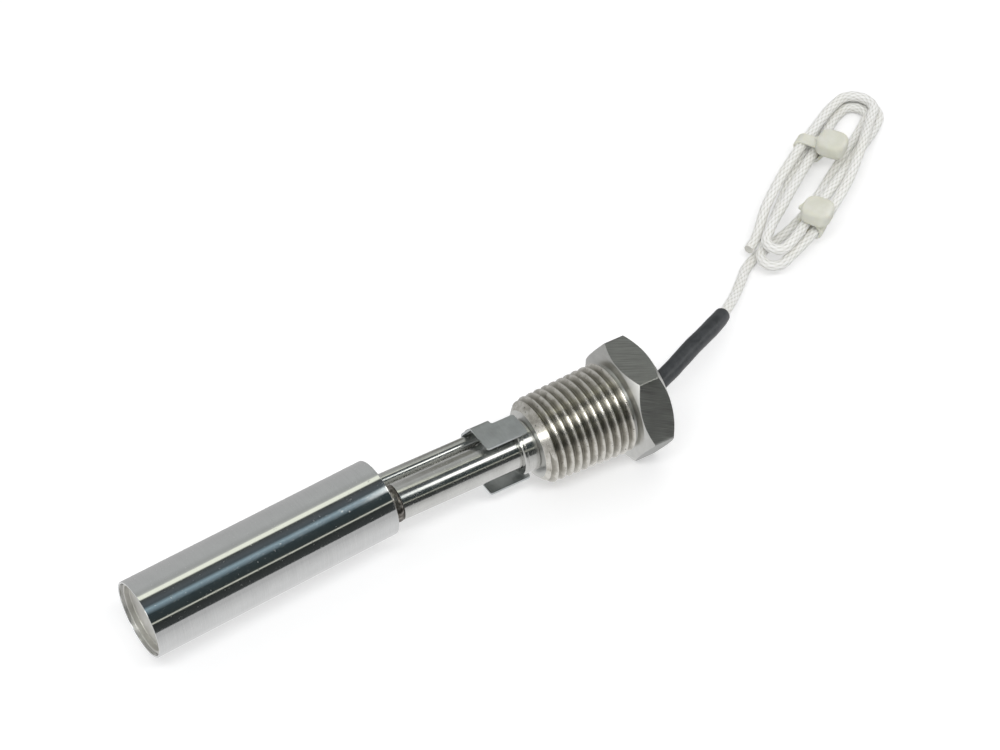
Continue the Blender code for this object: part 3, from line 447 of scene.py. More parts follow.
def grid_mesh(name, rows, ring=False, sharp_deg=32.0):
    """A closed body from rows of points round it: a ring, or capped at both ends."""
    rows = np.asarray(rows)
    count, facets = rows.shape[:2]
    faces = grid_faces(count, facets, ring)
    if not ring:
        faces += [list(range(facets)), list(range((count - 1) * facets, count * facets))]
    mesh = bpy.data.meshes.new(name)
    mesh.from_pydata(rows.reshape(-1, 3).tolist(), [], faces)
    bm = bmesh.new()
    bm.from_mesh(mesh)
    bmesh.ops.recalc_face_normals(bm, faces=bm.faces[:])
    bm.to_mesh(mesh)
    bm.free()
    return shade_mesh(mesh, sharp_deg)


def soften(profile, radius, closed=False, steps=3):
    """Rounds the corners of a profile of (x, radius) points, with a support point beside each."""
    points = [Vector(point) for point in profile]
    out = []
    for i, here in enumerate(points):
        if not closed and i in (0, len(points) - 1):
            out.append(here)
            continue
        before, after = points[i - 1] - here, points[(i + 1) % len(points)] - here
        reach = min(radius, before.length * 0.3, after.length * 0.3)
        before, after = before.normalized() * reach, after.normalized() * reach
        out.append(here + before * 1.4)
        for k in range(steps + 1):
            t = k / steps
            out.append(here + before * (1 - t) ** 2 + after * t**2)
        out.append(here + after * 1.4)
    return [(point.x, point.y) for point in out]


def lathe_rows(profile, facets):
    profile = np.array(profile)
    turns = 2 * math.pi * np.arange(facets) / facets
    x = np.repeat(profile[:, :1], facets, axis=1)
    return np.stack([x, profile[:, 1:] * np.cos(turns), profile[:, 1:] * np.sin(turns)], axis=-1)


def turned_piece(name, profile, facets, place, radius, ring):
    mesh = grid_mesh(name, lathe_rows(soften(profile, radius, ring), facets), ring)
    mesh.transform(place)
    return mesh


def add_piece(name, mesh, looks, body, slot, *replaced):
    piece = bpy.data.objects.new(name, mesh)
    scene.collection.objects.link(piece)
    for look in looks:
        mesh.materials.append(look)
    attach(piece, body)
    if replaced:
        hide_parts(*replaced)
    return piece


def smooth_line(points, spacing):
    """Points at an even spacing on a smooth curve through the given ones."""
    points = np.array(points, float)
    step = np.linalg.norm(np.diff(points, axis=0), axis=1)
    knot = np.concatenate([[0], np.cumsum(step)])
    slope = np.diff(points, axis=0) / step[:, None]
    before, after = step[:-1, None], step[1:, None]
    inner = (slope[:-1] * after + slope[1:] * before) / (before + after)
    tangent = np.vstack([slope[:1], inner, slope[-1:]])
    at = np.linspace(0, knot[-1], int(knot[-1] / spacing) * 4)
    part = np.clip(np.searchsorted(knot, at, side="right") - 1, 0, len(step) - 1)
    t = ((at - knot[part]) / step[part])[:, None]
    reach = step[part][:, None]
    fine = (
        (2 * t**3 - 3 * t**2 + 1) * points[part]
        + (t**3 - 2 * t**2 + t) * reach * tangent[part]
        + (3 * t**2 - 2 * t**3) * points[part + 1]
        + (t**3 - t**2) * reach * tangent[part + 1]
    )
    along = np.concatenate([[0], np.cumsum(np.linalg.norm(np.diff(fine, axis=0), axis=1))])
    even = np.linspace(0, along[-1], int(along[-1] / spacing) + 1)
    line = np.stack([np.interp(even, along, fine[:, k]) for k in range(3)], axis=1)
    return line, even


def sweep_frames(points):
    """Two directions across a line at each point, turned as little as possible along it."""
    ahead = np.gradient(points, axis=0)
    ahead /= np.linalg.norm(ahead, axis=1)[:, None]
    side = np.cross((0, 0, 1.0), ahead[0])
    sides = []
    for direction in ahead:
        side = side - direction * (side @ direction)
        side /= np.linalg.norm(side)
        sides.append(side)
    sides = np.array(sides)
    return sides, np.cross(ahead, sides)


def sweep_rows(points, radius):
    """Rows round a line, where radius has one row per point and one column per facet."""
    sides, ups = sweep_frames(points)
    turns = 2 * math.pi * np.arange(radius.shape[1]) / radius.shape[1]
    across = sides[:, None] * np.cos(turns)[None, :, None] + ups[:, None] * np.sin(turns)[None, :, None]
    return points[:, None] + across * radius[:, :, None]


def set_values(mesh, name, values):
    attribute = mesh.attributes.new(name, "FLOAT", "POINT")
    attribute.data.foreach_set("value", np.asarray(values, np.float32).ravel())


# Plug


def thread_section(x, turn):
    """(radius, height above the root as a share) of the threaded shank at x and a share of a turn."""
    phase = (x / THREAD_PITCH - turn) % 1.0
    height = min(1.0, max(0.0, (1 - abs(2 * phase - 1) - 0.07) / 0.86))
    share = (x - NOSE_CHAMFER) / (SHANK_END - NOSE_CHAMFER)
    crest = THREAD_NOSE_R + share * (THREAD_HEX_R - THREAD_NOSE_R)
    angle = 2 * math.pi * turn
    spot = Vector((x * 900, 9 * math.cos(angle), 9 * math.sin(angle)))
    worn = 0.035 * MM * noise.noise(spot) * height
    radius = crest - THREAD_DEPTH * (1 - height) + worn
    cone = NOSE_FACE_R + x / NOSE_CHAMFER * (THREAD_NOSE_R - NOSE_FACE_R)
    return (cone, 0.8) if cone < radius else (radius, height)


def make_plug(thread, flats, satin):
    local = [0.0, 0.7, 2.0] + [4.0 + 2.0 * k for k in range(27)] + [58.0, 59.3]
    turns = [(60.0 * k + degree) / 360.0 for k in range(6) for degree in local]
    phases = [0.0, 0.05, 0.12, 0.2, 0.3, 0.38, 0.44, 0.5, 0.56, 0.62, 0.7, 0.8, 0.88, 0.95]
    points, crests, faces = [], [], []
    columns = turns + [1.0]
    for turn_number in range(-1, THREAD_TURNS + 2):
        for phase in phases:
            for turn in columns:
                x = min(max(THREAD_PITCH * (turn_number + phase + turn), 0.0), SHANK_END)
                radius, height = thread_section(x, turn % 1.0)
                angle = 2 * math.pi * turn
                points.append((x, radius * math.cos(angle), radius * math.sin(angle)))
                crests.append(height)
    width = len(columns)
    for row in range(len(points) // width - 1):
        for k in range(width - 1):
            a = row * width + k
            faces.append((a, a + 1, a + 1 + width, a + width))
    relief = THREAD_HEX_R - THREAD_DEPTH
    face_r = HEX_AF / 2 * HEX_CHAMFER_FLAT_SHARE
    blunt = HEX_AF / 2 / math.cos(math.radians(29.45))
    body = []
    for turn in turns:
        angle = 2 * math.pi * turn
        sector = angle % (math.pi / 3) - math.pi / 6
        hex_r = min(HEX_AF / 2 / math.cos(sector), blunt)
        drop = (hex_r - face_r) * HEX_CHAMFER_SLOPE
        body.append([
            (SHANK_END, thread_section(SHANK_END, turn)[0]),
            (SHANK_END + RELIEF_LENGTH / 4, relief),
            (HEX_FRONT - 0.25 * MM, relief),
            (HEX_FRONT - 0.07 * MM, relief + 0.07 * MM),
            (HEX_FRONT, relief + 0.25 * MM),
            (HEX_FRONT, face_r - 0.1 * MM),
            (HEX_FRONT + 0.03 * MM, face_r),
            (HEX_FRONT + drop, hex_r),
            (HEX_REAR - drop, hex_r),
            (HEX_REAR - 0.03 * MM, face_r),
            (HEX_REAR, face_r - 0.1 * MM),
            (HEX_REAR, PLUG_BORE_R + 0.5 * MM),
            (HEX_REAR - 0.5 * MM, PLUG_BORE_R),
            (0.0, PLUG_BORE_R),
            (0.0, NOSE_FACE_R),
        ])
    first = len(points)
    for section in zip(*body):
        for (x, radius), turn in zip(section, turns):
            angle = 2 * math.pi * turn
            points.append((x, radius * math.cos(angle), radius * math.sin(angle)))
            crests.append(0.8)
    faces += grid_faces(len(body[0]), len(turns), False, first)
    mesh = bpy.data.meshes.new("plug")
    mesh.from_pydata(points, [], faces)
    set_values(mesh, "crest", crests)
    bm = bmesh.new()
    bm.from_mesh(mesh)
    bmesh.ops.remove_doubles(bm, verts=bm.verts[:], dist=0.0005 * MM)
    bmesh.ops.dissolve_degenerate(bm, edges=bm.edges[:], dist=0.0002 * MM)
    bmesh.ops.recalc_face_normals(bm, faces=bm.faces[:])
    place = bm.loops.layers.uv.new("flats")
    for face in bm.faces:
        centre = face.calc_center_median()
        out = math.hypot(centre.y, centre.z)
        face.material_index = 2 if centre.x < 0.02 * MM or centre.x > SHANK_END + RELIEF_LENGTH / 2 else 0
        if out > face_r and abs(face.normal.x) < 0.1:
            face.material_index = 1
            sector = math.floor(math.atan2(centre.z, centre.y) / (math.pi / 3)) + 0.5
            across = Vector((0, -math.sin(sector * math.pi / 3), math.cos(sector * math.pi / 3)))
            for loop in face.loops:
                loop[place].uv = (loop.vert.co.x, loop.vert.co @ across + 0.1 * sector)
    bm.to_mesh(mesh)
    bm.free()
    shade_mesh(mesh, 28.0)
    mesh.transform(BASE)
    return add_piece("plug", mesh, [thread, flats, satin], "switch", "plug_steel", "plug_body")


def make_potting(resin):
    """Resin in the plug's rear, drawn up a little round the sleeve and at the bore's wall."""
    outer = PLUG_BORE_R - 0.02 * MM
    rear = HEX_REAR - 0.6 * MM
    profile = [(rear - 14.0 * MM, CABLE_R + SEAT_GAP), (rear - 14.0 * MM, outer), (rear + 0.25 * MM, outer)]
    for k in range(9):
        share = k / 8
        dip = 0.3 * math.sin(math.pi * share) - 0.25 * (1 - share) ** 4 - 0.4 * share**6
        profile.append((rear - dip * MM, outer - 0.1 * MM + (SLEEVE_R + 0.02 * MM - outer) * share))
    profile += [(SLEEVE_START - SEAT_GAP, SLEEVE_R + 0.02 * MM), (SLEEVE_START - SEAT_GAP, CABLE_R + SEAT_GAP)]
    mesh = grid_mesh("potting", lathe_rows(profile, 72), True)
    mesh.transform(BASE)
    add_piece("potting", mesh, [resin], "switch", "potting_resin", "potting_plug")


# Stem


def make_stem(polish, weld):
    bore = TUBE_R + 0.03 * MM
    spigot = PLUG_BORE_R - SEAT_GAP
    collar = [
        (-COLLAR_LENGTH, bore),
        (-COLLAR_LENGTH, COLLAR_R - 0.35 * MM),
        (-COLLAR_LENGTH + 0.35 * MM, COLLAR_R),
        (-COLLAR_LENGTH + 0.75 * MM, COLLAR_R),
        (-COLLAR_LENGTH + 0.85 * MM, COLLAR_R - 0.12 * MM),
        (-COLLAR_LENGTH + 1.0 * MM, COLLAR_R - 0.12 * MM),
        (-COLLAR_LENGTH + 1.1 * MM, COLLAR_R),
        (-0.02 * MM, COLLAR_R),
        (-0.02 * MM, spigot),
        (COLLAR_SPIGOT, spigot),
        (COLLAR_SPIGOT, bore),
    ]
    mesh = turned_piece("collar", collar, 128, STEM, 0.3 * MM, True)
    add_piece("collar", mesh, [polish], "switch", "stem_steel", "stem_collar")
    tube = [(TUBE_END, TUBE_BORE_R), (TUBE_END, TUBE_R), (TUBE_IN_PLUG, TUBE_R), (TUBE_IN_PLUG, TUBE_BORE_R)]
    mesh = turned_piece("tube", tube, 128, STEM, 0.2 * MM, True)
    add_piece("tube", mesh, [polish], "switch", "stem_steel", "stem_tube")
    make_tip(weld)


def make_tip(weld):
    """The welded end of the tube: a slanted, lumpy bead on the end plug."""
    spigot = TUBE_BORE_R - SEAT_GAP
    stations = [
        (TUBE_END + 2.0 * MM, spigot, 0.0),
        (TUBE_END + 0.02 * MM, spigot, 0.0),
        (TUBE_END - 0.02 * MM, TUBE_R - 0.25 * MM, 0.1),
        (TUBE_END - 0.15 * MM, TUBE_R - 0.02 * MM, 0.3),
        (TUBE_END - 0.45 * MM, TUBE_R + 0.05 * MM, 0.6),
        (TUBE_END - 0.75 * MM, TUBE_R + 0.07 * MM, 0.9),
        (TUBE_END - 1.05 * MM, TUBE_R + 0.02 * MM, 1.0),
        (TUBE_END - 1.3 * MM, TUBE_R - 0.14 * MM, 1.0),
        (TUBE_END - 1.5 * MM, TUBE_R - 0.18 * MM, 0.9),
        (TUBE_END - 1.75 * MM, TUBE_R - 0.02 * MM, 0.7),
        (TUBE_END - 2.0 * MM, TUBE_R - 0.06 * MM, 0.5),
        (TUBE_END - 2.4 * MM, TUBE_R - 0.4 * MM, 0.3),
        (STEM_TIP + 0.12 * MM, TUBE_R - 0.85 * MM, 0.1),
        (STEM_TIP, TUBE_R - 1.3 * MM, 0.0),
        (STEM_TIP, TUBE_R - 2.6 * MM, 0.0),
    ]
    facets = 128
    rows = []
    for x, radius, loose in stations:
        row = []
        for k in range(facets):
            angle = 2 * math.pi * k / facets
            spot = Vector((x * 1400, 3.2 * math.cos(angle), 3.2 * math.sin(angle)))
            ripple = 0.035 * math.sin(22 * angle) + 0.12 * noise.noise(spot)
            slant = 0.38 * math.cos(angle - 0.6)
            r = radius + loose * ripple * MM
            row.append((x + loose * (slant + 0.4 * ripple) * MM, r * math.cos(angle), r * math.sin(angle)))
        rows.append(row)
    mesh = grid_mesh("tip", rows, sharp_deg=60.0)
    mesh.transform(STEM)
    add_piece("tip", mesh, [weld], "switch", "weld_steel", "stem_end_plug")


def join_meshes(name, *meshes):
    bm = bmesh.new()
    for mesh in meshes:
        bm.from_mesh(mesh)
    joined = bpy.data.meshes.new(name)
    bm.to_mesh(joined)
    bm.free()
    return shade_mesh(joined, 32.0)


def make_pivot(steel):
    """The pin's foot on the tube and its head behind the strap; the arm hides the length between."""
    across = STEM @ Matrix.Translation((PIVOT_X, 0, 0)) @ Matrix.Rotation(math.pi / 2, 4, "Z")
    near, far = ARM_Y - ARM_R - 0.05 * MM, ARM_Y + ARM_R + 0.05 * MM
    foot = [(STUD_FOOT, STUD_R * 0.5), (STUD_FOOT, STUD_R), (near, STUD_R), (near, STUD_R * 0.5)]
    head = [
        (far, STUD_R * 0.5),
        (far, STUD_R),
        (STUD_HEAD_LOW, STUD_R),
        (STUD_HEAD_LOW, STUD_HEAD_R),
        (STUD_HEAD_LOW + 0.2 * MM, STUD_HEAD_R),
        (STUD_HEAD_TOP - 0.06 * MM, STUD_HEAD_R * 0.72),
        (STUD_HEAD_TOP, STUD_HEAD_R * 0.35),
    ]
    pieces = [turned_piece("stud", section, 64, across, 0.2 * MM, False) for section in (foot, head)]
    add_piece("stud", join_meshes("stud", *pieces), [steel], "switch", "stem_steel", "pivot_stud")
    hole = STUD_R + SEAT_GAP
    washer = [(WASHER_LOW, hole), (WASHER_LOW, WASHER_R), (WASHER_HIGH, WASHER_R), (WASHER_HIGH, hole)]
    mesh = turned_piece("washer", washer, 64, across, 0.08 * MM, True)
    add_piece("washer", mesh, [steel], "switch", "stem_steel", "pivot_washer")


def make_bracket(sheet):
    """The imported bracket's own shape, with its flaps' corners rounded and its edges broken."""
    mesh = nodes["hinge_bracket"].data.copy()
    mesh.materials.clear()
    bm = bmesh.new()
    bm.from_mesh(mesh)
    bmesh.ops.remove_doubles(bm, verts=bm.verts[:], dist=0.002 * MM)
    bmesh.ops.dissolve_limit(bm, angle_limit=math.radians(1.0), verts=bm.verts[:], edges=bm.edges[:])
    bmesh.ops.recalc_face_normals(bm, faces=bm.faces[:])
    upright = (STEM.to_3x3() @ Vector((0, 0, 1))).normalized()
    corners = []
    for edge in bm.edges:
        run = edge.verts[1].co - edge.verts[0].co
        if abs(run.length - SHEET) < 0.02 * MM and abs(run.normalized().dot(upright)) > 0.999:
            corners.append(edge)
    bmesh.ops.bevel(bm, geom=corners, offset=0.55 * MM, segments=4, affect="EDGES", profile=0.5)
    bm.to_mesh(mesh)
    bm.free()
    shade_mesh(mesh, 35.0)
    piece = add_piece("bracket", mesh, [sheet], "float", "sheet_steel", "hinge_bracket")
    edges = piece.modifiers.new("edges", "BEVEL")
    edges.width = 0.14 * MM
    edges.segments = 3
    edges.limit_method = "ANGLE"
    edges.angle_limit = math.radians(40)
    edges.use_clamp_overlap = True
    edges.harden_normals = False


# Float


def rear_cap_face(y, z, radius):
    """How far right the float's rear cap face reaches within a radius of a point across the stem."""
    off_axis = (y - FLOAT_SIDE) * FLOAT_AXIS.y + (z - FLOAT_RISE) * FLOAT_AXIS.z
    return FLOAT_REAR - (CAP_RECESS + off_axis) / FLOAT_AXIS.x + radius * FLOAT_SLANT


def make_arm(polish, weld):
    left = rear_cap_face(ARM_Y, ARM_Z, ARM_R) + 0.1 * MM
    rod = [(left, ARM_R * 0.4), (left, ARM_R), (ARM_RIGHT, ARM_R), (ARM_RIGHT, ARM_R * 0.4)]
    mesh = turned_piece("arm", rod, 96, ARM, 0.35 * MM, False)
    add_piece("arm", mesh, [polish], "float", "stem_steel", "float_arm")
    low = rear_cap_face(ARM_Y, ARM_Z, SOCKET_R) + SEAT_GAP
    bore = ARM_R + 0.05 * MM
    high = low + SOCKET_LENGTH
    socket = [
        (low, bore),
        (low, SOCKET_R),
        (low + 0.5 * MM, SOCKET_R),
        (low + 1.1 * MM, SOCKET_R - 0.25 * MM),
        (low + 1.7 * MM, bore + 0.45 * MM),
        (high, bore + 0.08 * MM),
        (high, bore),
    ]
    mesh = turned_piece("socket", socket, 72, ARM, 0.3 * MM, True)
    add_piece("socket", mesh, [weld], "float", "weld_steel", "arm_socket")


def make_float(mirror, cap_steel):
    shell = [(0.0, FLOAT_BORE_R), (0.0, FLOAT_R), (-FLOAT_LENGTH, FLOAT_R), (-FLOAT_LENGTH, FLOAT_BORE_R)]
    mesh = turned_piece("shell", shell, 192, FLOAT, 0.22 * MM, True)
    add_piece("shell", mesh, [mirror], "float", "polished_steel", "float_shell")
    seat = FLOAT_BORE_R - 0.03 * MM
    inside = seat - CAP_THICKNESS - 0.25 * MM
    nose = CAP_RECESS - FLOAT_LENGTH
    dish = [
        (nose + CAP_THICKNESS, seat * 0.5),
        (nose + CAP_THICKNESS, seat),
        (nose - CAP_LIP, seat),
        (nose - CAP_LIP, inside),
        (nose, inside),
        (nose, inside * 0.5),
    ]
    mesh = turned_piece("front_cap", dish, 160, FLOAT, 0.3 * MM, False)
    add_piece("front_cap", mesh, [cap_steel], "float", "polished_steel", "float_front_cap")
    disc = [
        (-CAP_RECESS - CAP_THICKNESS, seat * 0.5),
        (-CAP_RECESS - CAP_THICKNESS, seat),
        (-CAP_RECESS + 0.25 * MM, seat),
        (-CAP_RECESS, seat - 0.5 * MM),
        (-CAP_RECESS, seat * 0.5),
    ]
    mesh = turned_piece("rear_cap", disc, 160, FLOAT, 0.25 * MM, False)
    add_piece("rear_cap", mesh, [cap_steel], "float", "polished_steel", "float_rear_cap")


# Cable


def hank_point(along, side, height):
    """A point of the hank's own plan, from the nose face and stem axis."""
    x = HANK_CENTRE.x + along * math.cos(HANK_TURN) - side * math.sin(HANK_TURN)
    y = HANK_CENTRE.y + along * math.sin(HANK_TURN) + side * math.cos(HANK_TURN)
    return (x, y, height - AXIS_HEIGHT)


def hank_height(along):
    far = HANK_RUN / 2 + HANK_FIRST_HALF_WIDTH + 2 * HANK_STEP
    share = (far - along) / (far - HANK_CROSSING)
    return CABLE_R + HANK_LIFT * min(1.0, max(0.0, share))


def hank_near_width(turns):
    return max(HANK_NEAR_LEAST, HANK_FIRST_HALF_WIDTH + HANK_STEP * turns - HANK_TAPER)


def hank_run_width(turns, share):
    """Half the width of a loop, at a share of its run from the near end to the far one."""
    half_width = HANK_FIRST_HALF_WIDTH + HANK_STEP * turns
    return half_width - (half_width - hank_near_width(turns)) * (1 - share) ** HANK_TAPER_BOW


def hank_rise(turns, share):
    """How far a loop is lifted to lie on the next one out, where the two draw together."""
    apart = hank_run_width(turns + 1, share) - hank_run_width(turns, share)
    return math.sqrt(max(0.0, HANK_STEP**2 - apart**2))


def hank_loop(step, turns):
    """One point of a loop, 24 steps to a loop, from the near end of its right-hand run.

    It comes as along, side, and the share of the run where it lies.
    """
    half = HANK_RUN / 2
    run, bend = 4, 8
    near_end = -half - HANK_NEAR_REACH * min(1.0, turns / 2)
    if step <= run or run + bend <= step <= 2 * run + bend:
        share = step / run if step <= run else (2 * run + bend - step) / run
        along = near_end + (half - near_end) * share
        width = hank_run_width(turns, share) - HANK_WAIST * math.sin(math.pi * share) ** 2
        shift = HANK_FAR_SHIFT * share
        return along, (shift - width) if step <= run else (shift + width), share
    if step < run + bend:
        half_width = hank_run_width(turns, 1.0)
        angle = math.pi * ((step - run) / bend - 0.5)
        return half + half_width * math.cos(angle), HANK_FAR_SHIFT + half_width * math.sin(angle), 1.0
    near_width = hank_near_width(turns)
    angle = math.pi * ((step - 2 * run - bend) / bend + 0.5)
    return near_end + near_width * math.cos(angle), near_width * math.sin(angle), 0.0


def hank_plan():
    """The hank's centre line as (along, side, height), from under the loops to the free end."""
    line = [(a, s, CABLE_R) for a, s in HANK_ENTRY[:5]]
    for along, side in HANK_ENTRY[5:]:
        share = (along - HANK_ENTRY[4][0]) / (HANK_RUN / 2 - HANK_ENTRY[4][0])
        line.append((along, side, CABLE_R + (hank_height(along) - CABLE_R) * share))
    for k in range(4, 48):
        along, side, share = hank_loop(k % 24, k / 24)
        rise = hank_rise(k / 24, share) if k <= 28 else 0.0
        line.append((along, side, hank_height(along) + rise))
    start = -math.asin(hank_rise(1.0, 0.0) / HANK_STACK)
    for k in range(0, 17):
        along, side, share = hank_loop(k, 1 + k / 24)
        rise = hank_rise(1 + k / 24, share) if k <= 4 else 0.0
        climb = start + (HANK_STACK_TURN - start) * k / 4
        angle = climb if k <= 4 else HANK_STACK_TURN * min(1.0, (16 - k) / 4)
        facing = math.pi * min(max((k - 4) / 8, 0.0), 1.0) - math.pi / 2
        outward = HANK_STACK * math.cos(angle)
        along += outward * math.cos(facing)
        side += outward * math.sin(facing)
        line.append((along, side, hank_height(along) + rise + HANK_STACK * math.sin(angle)))
    along, side, height = line[-1]
    line.append((along - HANK_FREE_END, side + HANK_FREE_END / 8, height))
    return line


BRAID_STRANDS = 8
BRAID_LAY = 24.0 * MM
BRAID_RELIEF = 0.2 * MM
CABLE_FACETS = 36
CABLE_STEP = 0.21 * MM


def braid_height(along, turn):
    """How high the upper strand of the braid stands, from 0 to 1, at lengths along and shares of a turn."""
    right = BRAID_STRANDS * (along / BRAID_LAY + turn)
    left = BRAID_STRANDS * (along / BRAID_LAY - turn)
    right_number, left_number = np.floor(right), np.floor(left)
    right_round = 1 - np.abs(2 * (right - right_number) - 1) ** 2.4
    left_round = 1 - np.abs(2 * (left - left_number) - 1) ** 2.4
    right_over = 0.5 + 0.5 * np.cos(math.pi * (left - 0.5 + right_number))
    left_over = 0.5 - 0.5 * np.cos(math.pi * (right - 0.5 + left_number))
    return np.maximum(right_round * right_over, left_round * left_over)


def make_cable(plan, braid):
    route = CABLE_ROUTE + [hank_point(*point) for point in plan]
    line, along = smooth_line([BASE @ Vector(point) for point in route], CABLE_STEP)
    turns = np.arange(CABLE_FACETS) / CABLE_FACETS
    height = braid_height(along[:, None], turns[None, :])
    radius = CABLE_R + BRAID_RELIEF * (height - 0.62)
    rows = sweep_rows(line, radius)
    ahead = (line[-1] - line[-2]) / np.linalg.norm(line[-1] - line[-2])
    cut = [rows[-1] + (line[-1] - rows[-1]) * inward - ahead * sink for inward, sink in ((0.12, -0.1 * MM), (0.5, 0.05 * MM))]
    rows = np.concatenate([rows, cut])
    height = np.concatenate([height, np.full((2, CABLE_FACETS), 0.25)])
    mesh = grid_mesh("cable", rows, sharp_deg=70.0)
    # The braid's height at each point, which the braid's look turns into painted shade in the gaps between strands.
    set_values(mesh, "strand", height)
    piece = add_piece("cable", mesh, [braid], "switch", "white_braid", "cable_lead", "cable_hank")
    return piece, line, along[-1]


def make_sleeve(black):
    """The shrunk sleeve: slightly uneven, drawn in at its far end where it grips the braid."""
    route = [BASE @ Vector(point) for point in CABLE_ROUTE[1:SLEEVE_END_POINT + 2]]
    line, along = smooth_line(route, 0.3 * MM)
    first = BASE @ Vector((SLEEVE_START, 0, 0))
    last = BASE @ Vector(CABLE_ROUTE[SLEEVE_END_POINT])
    keep = (line[:, 0] >= first.x) & (line[:, 0] <= last.x)
    line, along = line[keep], along[keep] - along[keep][0]
    facets = 48
    turns = 2 * math.pi * np.arange(facets) / facets
    left = along[-1] - along
    drawn = 0.22 * MM * np.exp(-left / (2.2 * MM))
    outer = np.zeros((len(line), facets))
    for i, s in enumerate(along):
        for k, turn in enumerate(turns):
            spot = Vector((s * 260, 1.1 * math.cos(turn), 1.1 * math.sin(turn)))
            outer[i, k] = SLEEVE_R - drawn[i] + 0.07 * MM * noise.noise(spot)
    inner = np.repeat((SLEEVE_BORE_R - drawn * 0.4)[:, None], facets, axis=1)
    outside = sweep_rows(line, outer)
    inside = sweep_rows(line, inner)
    lip = outside[-1:] * 0.55 + inside[-1:] * 0.45 + (line[-1] - line[-2]) * 0.35
    rows = np.concatenate([outside, lip, inside[::-1]])
    mesh = grid_mesh("sleeve", rows, True, 50.0)
    return add_piece("sleeve", mesh, [black], "switch", "black_sleeve", "heat_shrink_sleeve")


# Ties


def strands_at(plan, along, left_run):
    found = []
    loops = plan[len(HANK_ENTRY):]
    for (a, s, h), (b, t, g) in zip(loops, loops[1:]):
        if min(a, b) <= along < max(a, b) and (s > 0) == left_run:
            share = (along - a) / (b - a)
            found.append((s + (t - s) * share, h + (g - h) * share))
    return np.array(found)


def make_tie(name, node, plan, along, left_run, head_share, head_drop, tail_turn, nylon):
    """A cable tie: a strap drawn tight round one run and into its head, at a share from inner to outer edge."""
    strands = strands_at(plan, along, left_run)
    place = BASE @ Matrix.Translation(hank_point(along, 0, 0)) @ Matrix.Rotation(HANK_TURN, 4, "Z")
    reach = CABLE_R + 0.12 * MM
    inner, outer = strands[:, 0].min() - reach, strands[:, 0].max() + reach
    if not left_run:
        inner, outer = outer, inner
    top = strands[:, 1].max() + reach + TIE_THICKNESS
    lift = (TIE_HEAD_SIZE[2] - TIE_THICKNESS) / 2 - head_drop
    middle = Vector((0, inner + (outer - inner) * head_share, top + lift))
    slot_side = middle.y + math.copysign(TIE_SLOT_SIDE, strands[:, 0].mean() - middle.y)
    held = np.vstack([strands, (slot_side, middle.z - TIE_HEAD_SIZE[2] / 2 + TIE_SLOT_RISE)])
    reaches = np.append(np.full(len(strands), reach), 0.2 * MM)
    turns = 2 * math.pi * np.arange(120) / 120
    out = np.stack([np.cos(turns), np.sin(turns)], axis=1)
    pick = np.argmax(held @ out.T + reaches[:, None], axis=0)
    section = soften(
        [(-TIE_WIDTH / 2, 0.0), (TIE_WIDTH / 2, 0.0), (TIE_WIDTH / 2, TIE_THICKNESS), (-TIE_WIDTH / 2, TIE_THICKNESS)],
        0.28 * MM, True,
    )
    rows = []
    for x, rise in section:
        ring = held[pick] + out * (reaches[pick][:, None] + rise)
        rows.append(np.concatenate([np.full((len(ring), 1), x), ring], axis=1))
    strap = grid_mesh(name, rows, True, 40.0)
    strap.transform(place)
    piece = add_piece(name, strap, [nylon], "switch", "natural_nylon", node)
    head = tie_head(name + "_head", tail_turn)
    head.transform(place @ Matrix.Translation(middle))
    head_piece = add_piece(name + "_head", head, [nylon], "switch", "natural_nylon", node)
    return [piece, head_piece]


def tie_head(name, tail_turn):
    """A moulded head with the cut end of the strap standing out."""
    length, width, height = TIE_HEAD_SIZE
    bm = bmesh.new()
    bmesh.ops.create_cube(bm, size=1.0)
    bmesh.ops.transform(bm, matrix=Matrix.Diagonal((length, width, height, 1.0)), verts=bm.verts[:])
    upright = [e for e in bm.edges if abs(e.verts[0].co.z - e.verts[1].co.z) > height / 2]
    bmesh.ops.bevel(bm, geom=upright, offset=2.6 * MM, segments=4, affect="EDGES", profile=0.5)
    rims = [e for e in bm.edges if abs(e.verts[0].co.z - e.verts[1].co.z) < height / 4]
    bmesh.ops.bevel(bm, geom=rims, offset=1.2 * MM, segments=4, affect="EDGES", profile=0.55)
    tail = bmesh.ops.create_cube(bm, size=1.0)["verts"]
    size = Matrix.Diagonal((TIE_WIDTH * 0.95, 2.2 * MM, TIE_THICKNESS * 1.3, 1.0))
    turn = Matrix.Rotation(tail_turn, 4, "Z") @ Matrix.Translation((0, width / 2, -height * 0.22))
    bmesh.ops.transform(bm, matrix=turn @ size, verts=tail)
    edges = list({e for v in tail for e in v.link_edges})
    bmesh.ops.bevel(bm, geom=edges, offset=0.3 * MM, segments=2, affect="EDGES", profile=0.5)
    bmesh.ops.recalc_face_normals(bm, faces=bm.faces[:])
    mesh = bpy.data.meshes.new(name)
    bm.to_mesh(mesh)
    bm.free()
    return shade_mesh(mesh, 50.0)


# Studio


def ray_share(tree):
    """1 for what the camera sees straight, in a mirror or through glass, and 0 for other light."""
    rays = tree.nodes.new("ShaderNodeLightPath")
    seen = join_values(tree, "MAXIMUM", rays.outputs["Is Camera Ray"], rays.outputs["Is Glossy Ray"])
    return join_values(tree, "MAXIMUM", seen, rays.outputs["Is Transmission Ray"])


